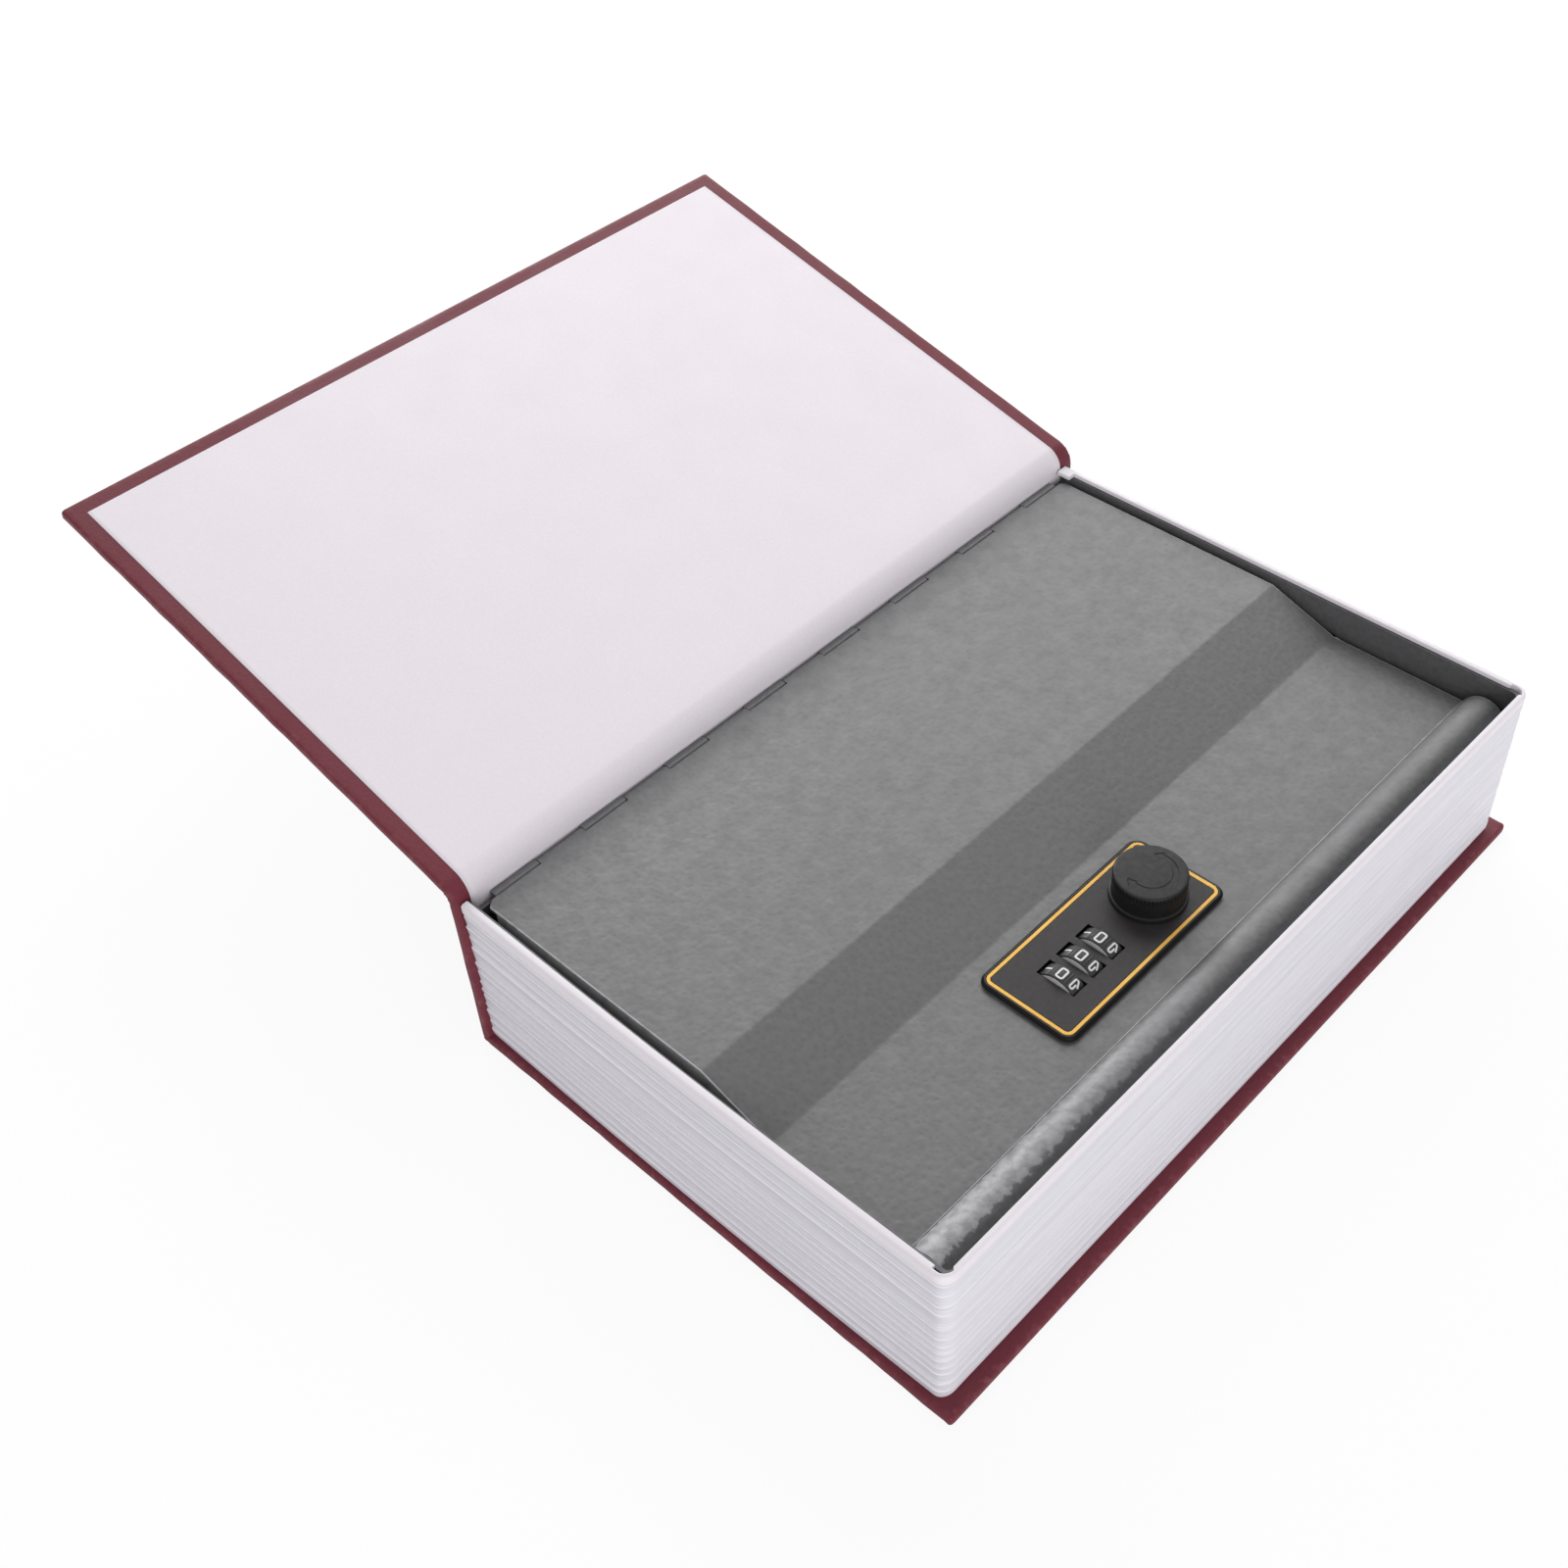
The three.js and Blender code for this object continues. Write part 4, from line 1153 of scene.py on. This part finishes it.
def wheel_axis(node):
    low, high = corners(node)
    radius = (high.x - low.x) / 2
    return low.x + radius, low.y + wheel_width / 2, low.z + radius


def on_wheel(axis, radius, angle, along):
    """A point of a wheel, by its angle from the top and its place along the axle."""
    x, y, z = axis
    return x - radius * math.sin(angle), y + along, z + radius * math.cos(angle)


def digit_marks(number, axis):
    """One number's strip on the wheel: points and faces."""
    box = [Vector((x * digit_width, y * digit_height)) for x, y in digit_lines[number]]
    half = Vector((digit_width / 2, digit_height / 2))
    line = softened([point - half for point in box], digit_round)
    strip = line_strip(divided(line, digit_spacing), digit_line)
    radius = wheel_radius + digit_rise
    points = []
    for pair in strip:
        for glyph in pair:
            angle = 2 * math.pi * number / wheel_numbers + glyph.y / wheel_radius
            points.append(on_wheel(axis, radius, angle, glyph.x))
    return points, grid_faces(len(strip), 2)


def wheel_digits(index, axis):
    points, faces = [], []
    for number in range(wheel_numbers):
        more, quads = digit_marks(number, axis)
        faces += [tuple(len(points) + corner for corner in quad) for quad in quads]
        points += more
    mesh = new_mesh(f"wheel_{index}_digits", points, faces)
    smoothed(mesh, digit_angle)
    digits = new_object(mesh.name, mesh, digit_material)
    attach(digits, f"dial_{index}")


def wheel_profile(groove):
    """Across the wheel from bore to bore: [radius, along]."""
    half = wheel_width / 2
    top = wheel_radius - groove
    third = wheel_edge / 3
    return [
        (wheel_bore, -half),
        (top - wheel_edge, -half),
        (top - third, -half + third),
        (top, -half + wheel_edge),
        (top, half - wheel_edge),
        (top - third, half - third),
        (top - wheel_edge, half),
        (wheel_bore, half),
    ]


def number_wheel(index):
    node = f"wheel_{index}"
    axis = wheel_axis(node)
    columns = wheel_numbers * columns_each_number
    points = []
    for column in range(columns):
        angle = 2 * math.pi * column / columns
        groove = wheel_groove if column % columns_each_number in groove_columns else 0
        for radius, along in wheel_profile(groove):
            points.append(on_wheel(axis, radius, angle, along))
    count = len(wheel_profile(0))
    points += points[:count]
    faces = grid_faces(columns + 1, count, closed=True)
    wheel = made(node + "_body", points, faces, wheel_material)
    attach(wheel, f"dial_{index}")
    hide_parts(node)
    wheel_disc(index, axis)
    wheel_digits(index, axis)


def wheel_disc(index, axis):
    """The bright ring on the wheel's tail side, open where it sits in the wheel."""
    x, y, z = axis
    face = y - wheel_width / 2
    sunk, raised = face + disc_sink, face - disc_rise
    sides = wheel_numbers * columns_each_number
    rings = [(disc_inner, sunk), (disc_inner, raised), (disc_radius - disc_bevel, raised)]
    rings += [(disc_radius, face), (disc_radius, sunk)]
    points = []
    for radius, along in rings:
        for side in range(sides):
            angle = 2 * math.pi * side / sides
            points.append((x + radius * math.cos(angle), along, z + radius * math.sin(angle)))
    faces = grid_faces(len(rings), sides, closed=True)
    disc = made(f"wheel_{index}_disc", points, faces, silver_material)
    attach(disc, f"dial_{index}")


# Knob
def knob_rows():
    """The knob from its foot to its top edge: [radius, height, share of the tooth depth]."""
    top = knob_high.z - knob_low.z - knob_crown
    tooth_foot = top - knob_tooth_length
    rows = [(knob_radius + out, height, 0) for out, height in knob_foot]
    rows += [(knob_radius, tooth_foot, 0), (knob_radius, tooth_foot + tooth_run_out, 1)]
    rows += [(knob_radius + out, top + rise, share) for out, rise, share in knob_edge]
    return [*rows, (knob_radius - knob_top_round, top, 0)]


def arrow_groove(radius, angle):
    """How deep the turn arrow is cut into the knob's top at a place given by radius and angle."""
    beyond = (abs(angle) - arrow_sweep) * arrow_radius
    off_line = abs(radius - arrow_radius)
    on_band = off_line < arrow_line / 2 and beyond < 0
    on_head = 0 <= beyond and off_line < arrow_head * (1 - beyond / arrow_head_length)
    return arrow_depth if on_band or on_head else 0


def knob_top_radii():
    """From the top's edge to its middle, finer across the arrow."""
    fine = arrow_line / arrow_steps
    low, high = arrow_radius - arrow_head - fine, arrow_radius + arrow_head + fine
    outer = steps(knob_radius - knob_top_round, high, crown_spacing)[1:]
    inner = steps(low, centre_radius, centre_spacing)[1:]
    return [*outer, *steps(high, low, fine)[1:], *inner]


def knob_points():
    top = knob_high.z - knob_low.z - knob_crown
    columns = columns_each_tooth * knob_teeth
    half = columns_each_tooth / 2
    points = []
    for radius, height, tooth in knob_rows():
        for column in range(columns):
            angle = 2 * math.pi * column / columns
            notch = max(0, 1 - 2 * abs(column % columns_each_tooth - half) / half)
            reach = radius - knob_tooth * tooth * notch
            points.append((reach * math.cos(angle), reach * math.sin(angle), height))
    for radius in knob_top_radii():
        crown = knob_crown * (1 - (radius / knob_radius) ** 2)
        for column in range(columns):
            angle = 2 * math.pi * column / columns
            around = (angle + math.pi) % (2 * math.pi) - math.pi
            height = top + crown - arrow_groove(radius, around)
            points.append((radius * math.cos(angle), radius * math.sin(angle), height))
    return points, columns


def turn_knob():
    centre = (knob_low + knob_high) / 2
    points, columns = knob_points()
    faces = grid_faces(len(points) // columns, columns, closed=True)
    faces += end_faces(len(points), columns)
    placed = [(centre.x + x, centre.y + y, knob_low.z + z) for x, y, z in points]
    knob = made("knob_cap", placed, faces, knob_material, smooth_angle=knob_angle)
    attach(knob, "turn_knob")
    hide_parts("knob")


# Floor and light
white = (1, 1, 1, 1)
floor_size = 6000
floor_glow = 0.9
soft_strength = 0.5
seen_strength = 1.0
lamps = {
    "key": ((-620, 830, 860), (1300, 1100), 11),
    "side": ((-1000, 470, 470), (330, 420), 4.5),
    "fill": ((1300, -850, 520), (900, 900), 12),
}
lamps_aim = Vector((0, 0, 50))


def floor():
    """A pale floor that the camera sees almost white."""
    paint = Paint("floor", 0.9)
    paint.base(paint.mix(paint.noise(3, 3), colour(246, 246, 246), colour(250, 250, 250)))
    glow = paint.add("Emission", {"Color": white, "Strength": seen_strength})
    seen = paint.add("LightPath").outputs["Is Camera Ray"]
    share = paint.math("MULTIPLY", seen, floor_glow)
    mixer = paint.add("MixShader", {0: share, 1: paint.shader.outputs[0], 2: glow.outputs[0]})
    paint.feed(paint.tree.nodes["Material Output"].inputs["Surface"], mixer.outputs[0])
    half = floor_size / 2
    points = [(-half, -half, 0), (half, -half, 0), (half, half, 0), (-half, half, 0)]
    made("floor", points, [(0, 1, 2, 3)], paint.material)


def world():
    """A soft even light; the camera, shiny surfaces and clear ones see plain white."""
    studio = bpy.data.worlds.new("studio")
    studio.use_nodes = True
    bpy.context.scene.world = studio
    nodes = Nodes(studio.node_tree)
    soft = nodes.tree.nodes["Background"]
    nodes.feed(soft.inputs["Color"], white)
    nodes.feed(soft.inputs["Strength"], soft_strength)
    bright = nodes.add("Background", {"Color": white, "Strength": seen_strength})
    rays = nodes.add("LightPath").outputs
    either = nodes.math("MAXIMUM", rays["Is Camera Ray"], rays["Is Glossy Ray"])
    any_of = nodes.math("MAXIMUM", either, rays["Is Transmission Ray"])
    mixer = nodes.add("MixShader", {0: any_of, 1: soft.outputs[0], 2: bright.outputs[0]})
    nodes.feed(nodes.tree.nodes["World Output"].inputs["Surface"], mixer.outputs[0])


def lights():
    for name, (place, (width, height), power) in lamps.items():
        data = bpy.data.lights.new(name, "AREA")
        data.shape = "RECTANGLE"
        data.size = width * MM
        data.size_y = height * MM
        data.energy = power
        lamp = bpy.data.objects.new(name, data)
        bpy.context.scene.collection.objects.link(lamp)
        lamp.location = Vector(place) * MM
        lamp.rotation_euler = (lamps_aim - Vector(place)).to_track_quat("-Z", "Y").to_euler()


# Camera
camera_place = Vector((205.2, -274.6, 400.1))
camera_aim = Vector((-45.8, -24.1, 50))
camera_lens = 44.16
camera_sensor = 36
camera_shift = (-0.025, -0.0094)
camera_roll = math.radians(-2.76)
camera_clip = (0.01, 100)


def camera():
    data = bpy.data.cameras.new("camera")
    data.lens = camera_lens
    data.sensor_width = camera_sensor
    data.shift_x, data.shift_y = camera_shift
    data.clip_start, data.clip_end = camera_clip
    lens = bpy.data.objects.new("camera", data)
    bpy.context.scene.collection.objects.link(lens)
    turn = (camera_aim - camera_place).to_track_quat("-Z", "Y").to_matrix().to_4x4()
    roll = Matrix.Rotation(camera_roll, 4, "Z")
    lens.matrix_world = Matrix.Translation(camera_place * MM) @ turn @ roll
    bpy.context.scene.camera = lens


camera()
floor()
world()
lights()
bpy.context.scene.view_settings.view_transform = "Standard"
case_skin()
endpaper_sheet()
page_walls()
eased_nodes()
lock_face()
short_board()
painted_nodes()
for wheel_index in (1, 2, 3):
    number_wheel(wheel_index)
turn_knob()
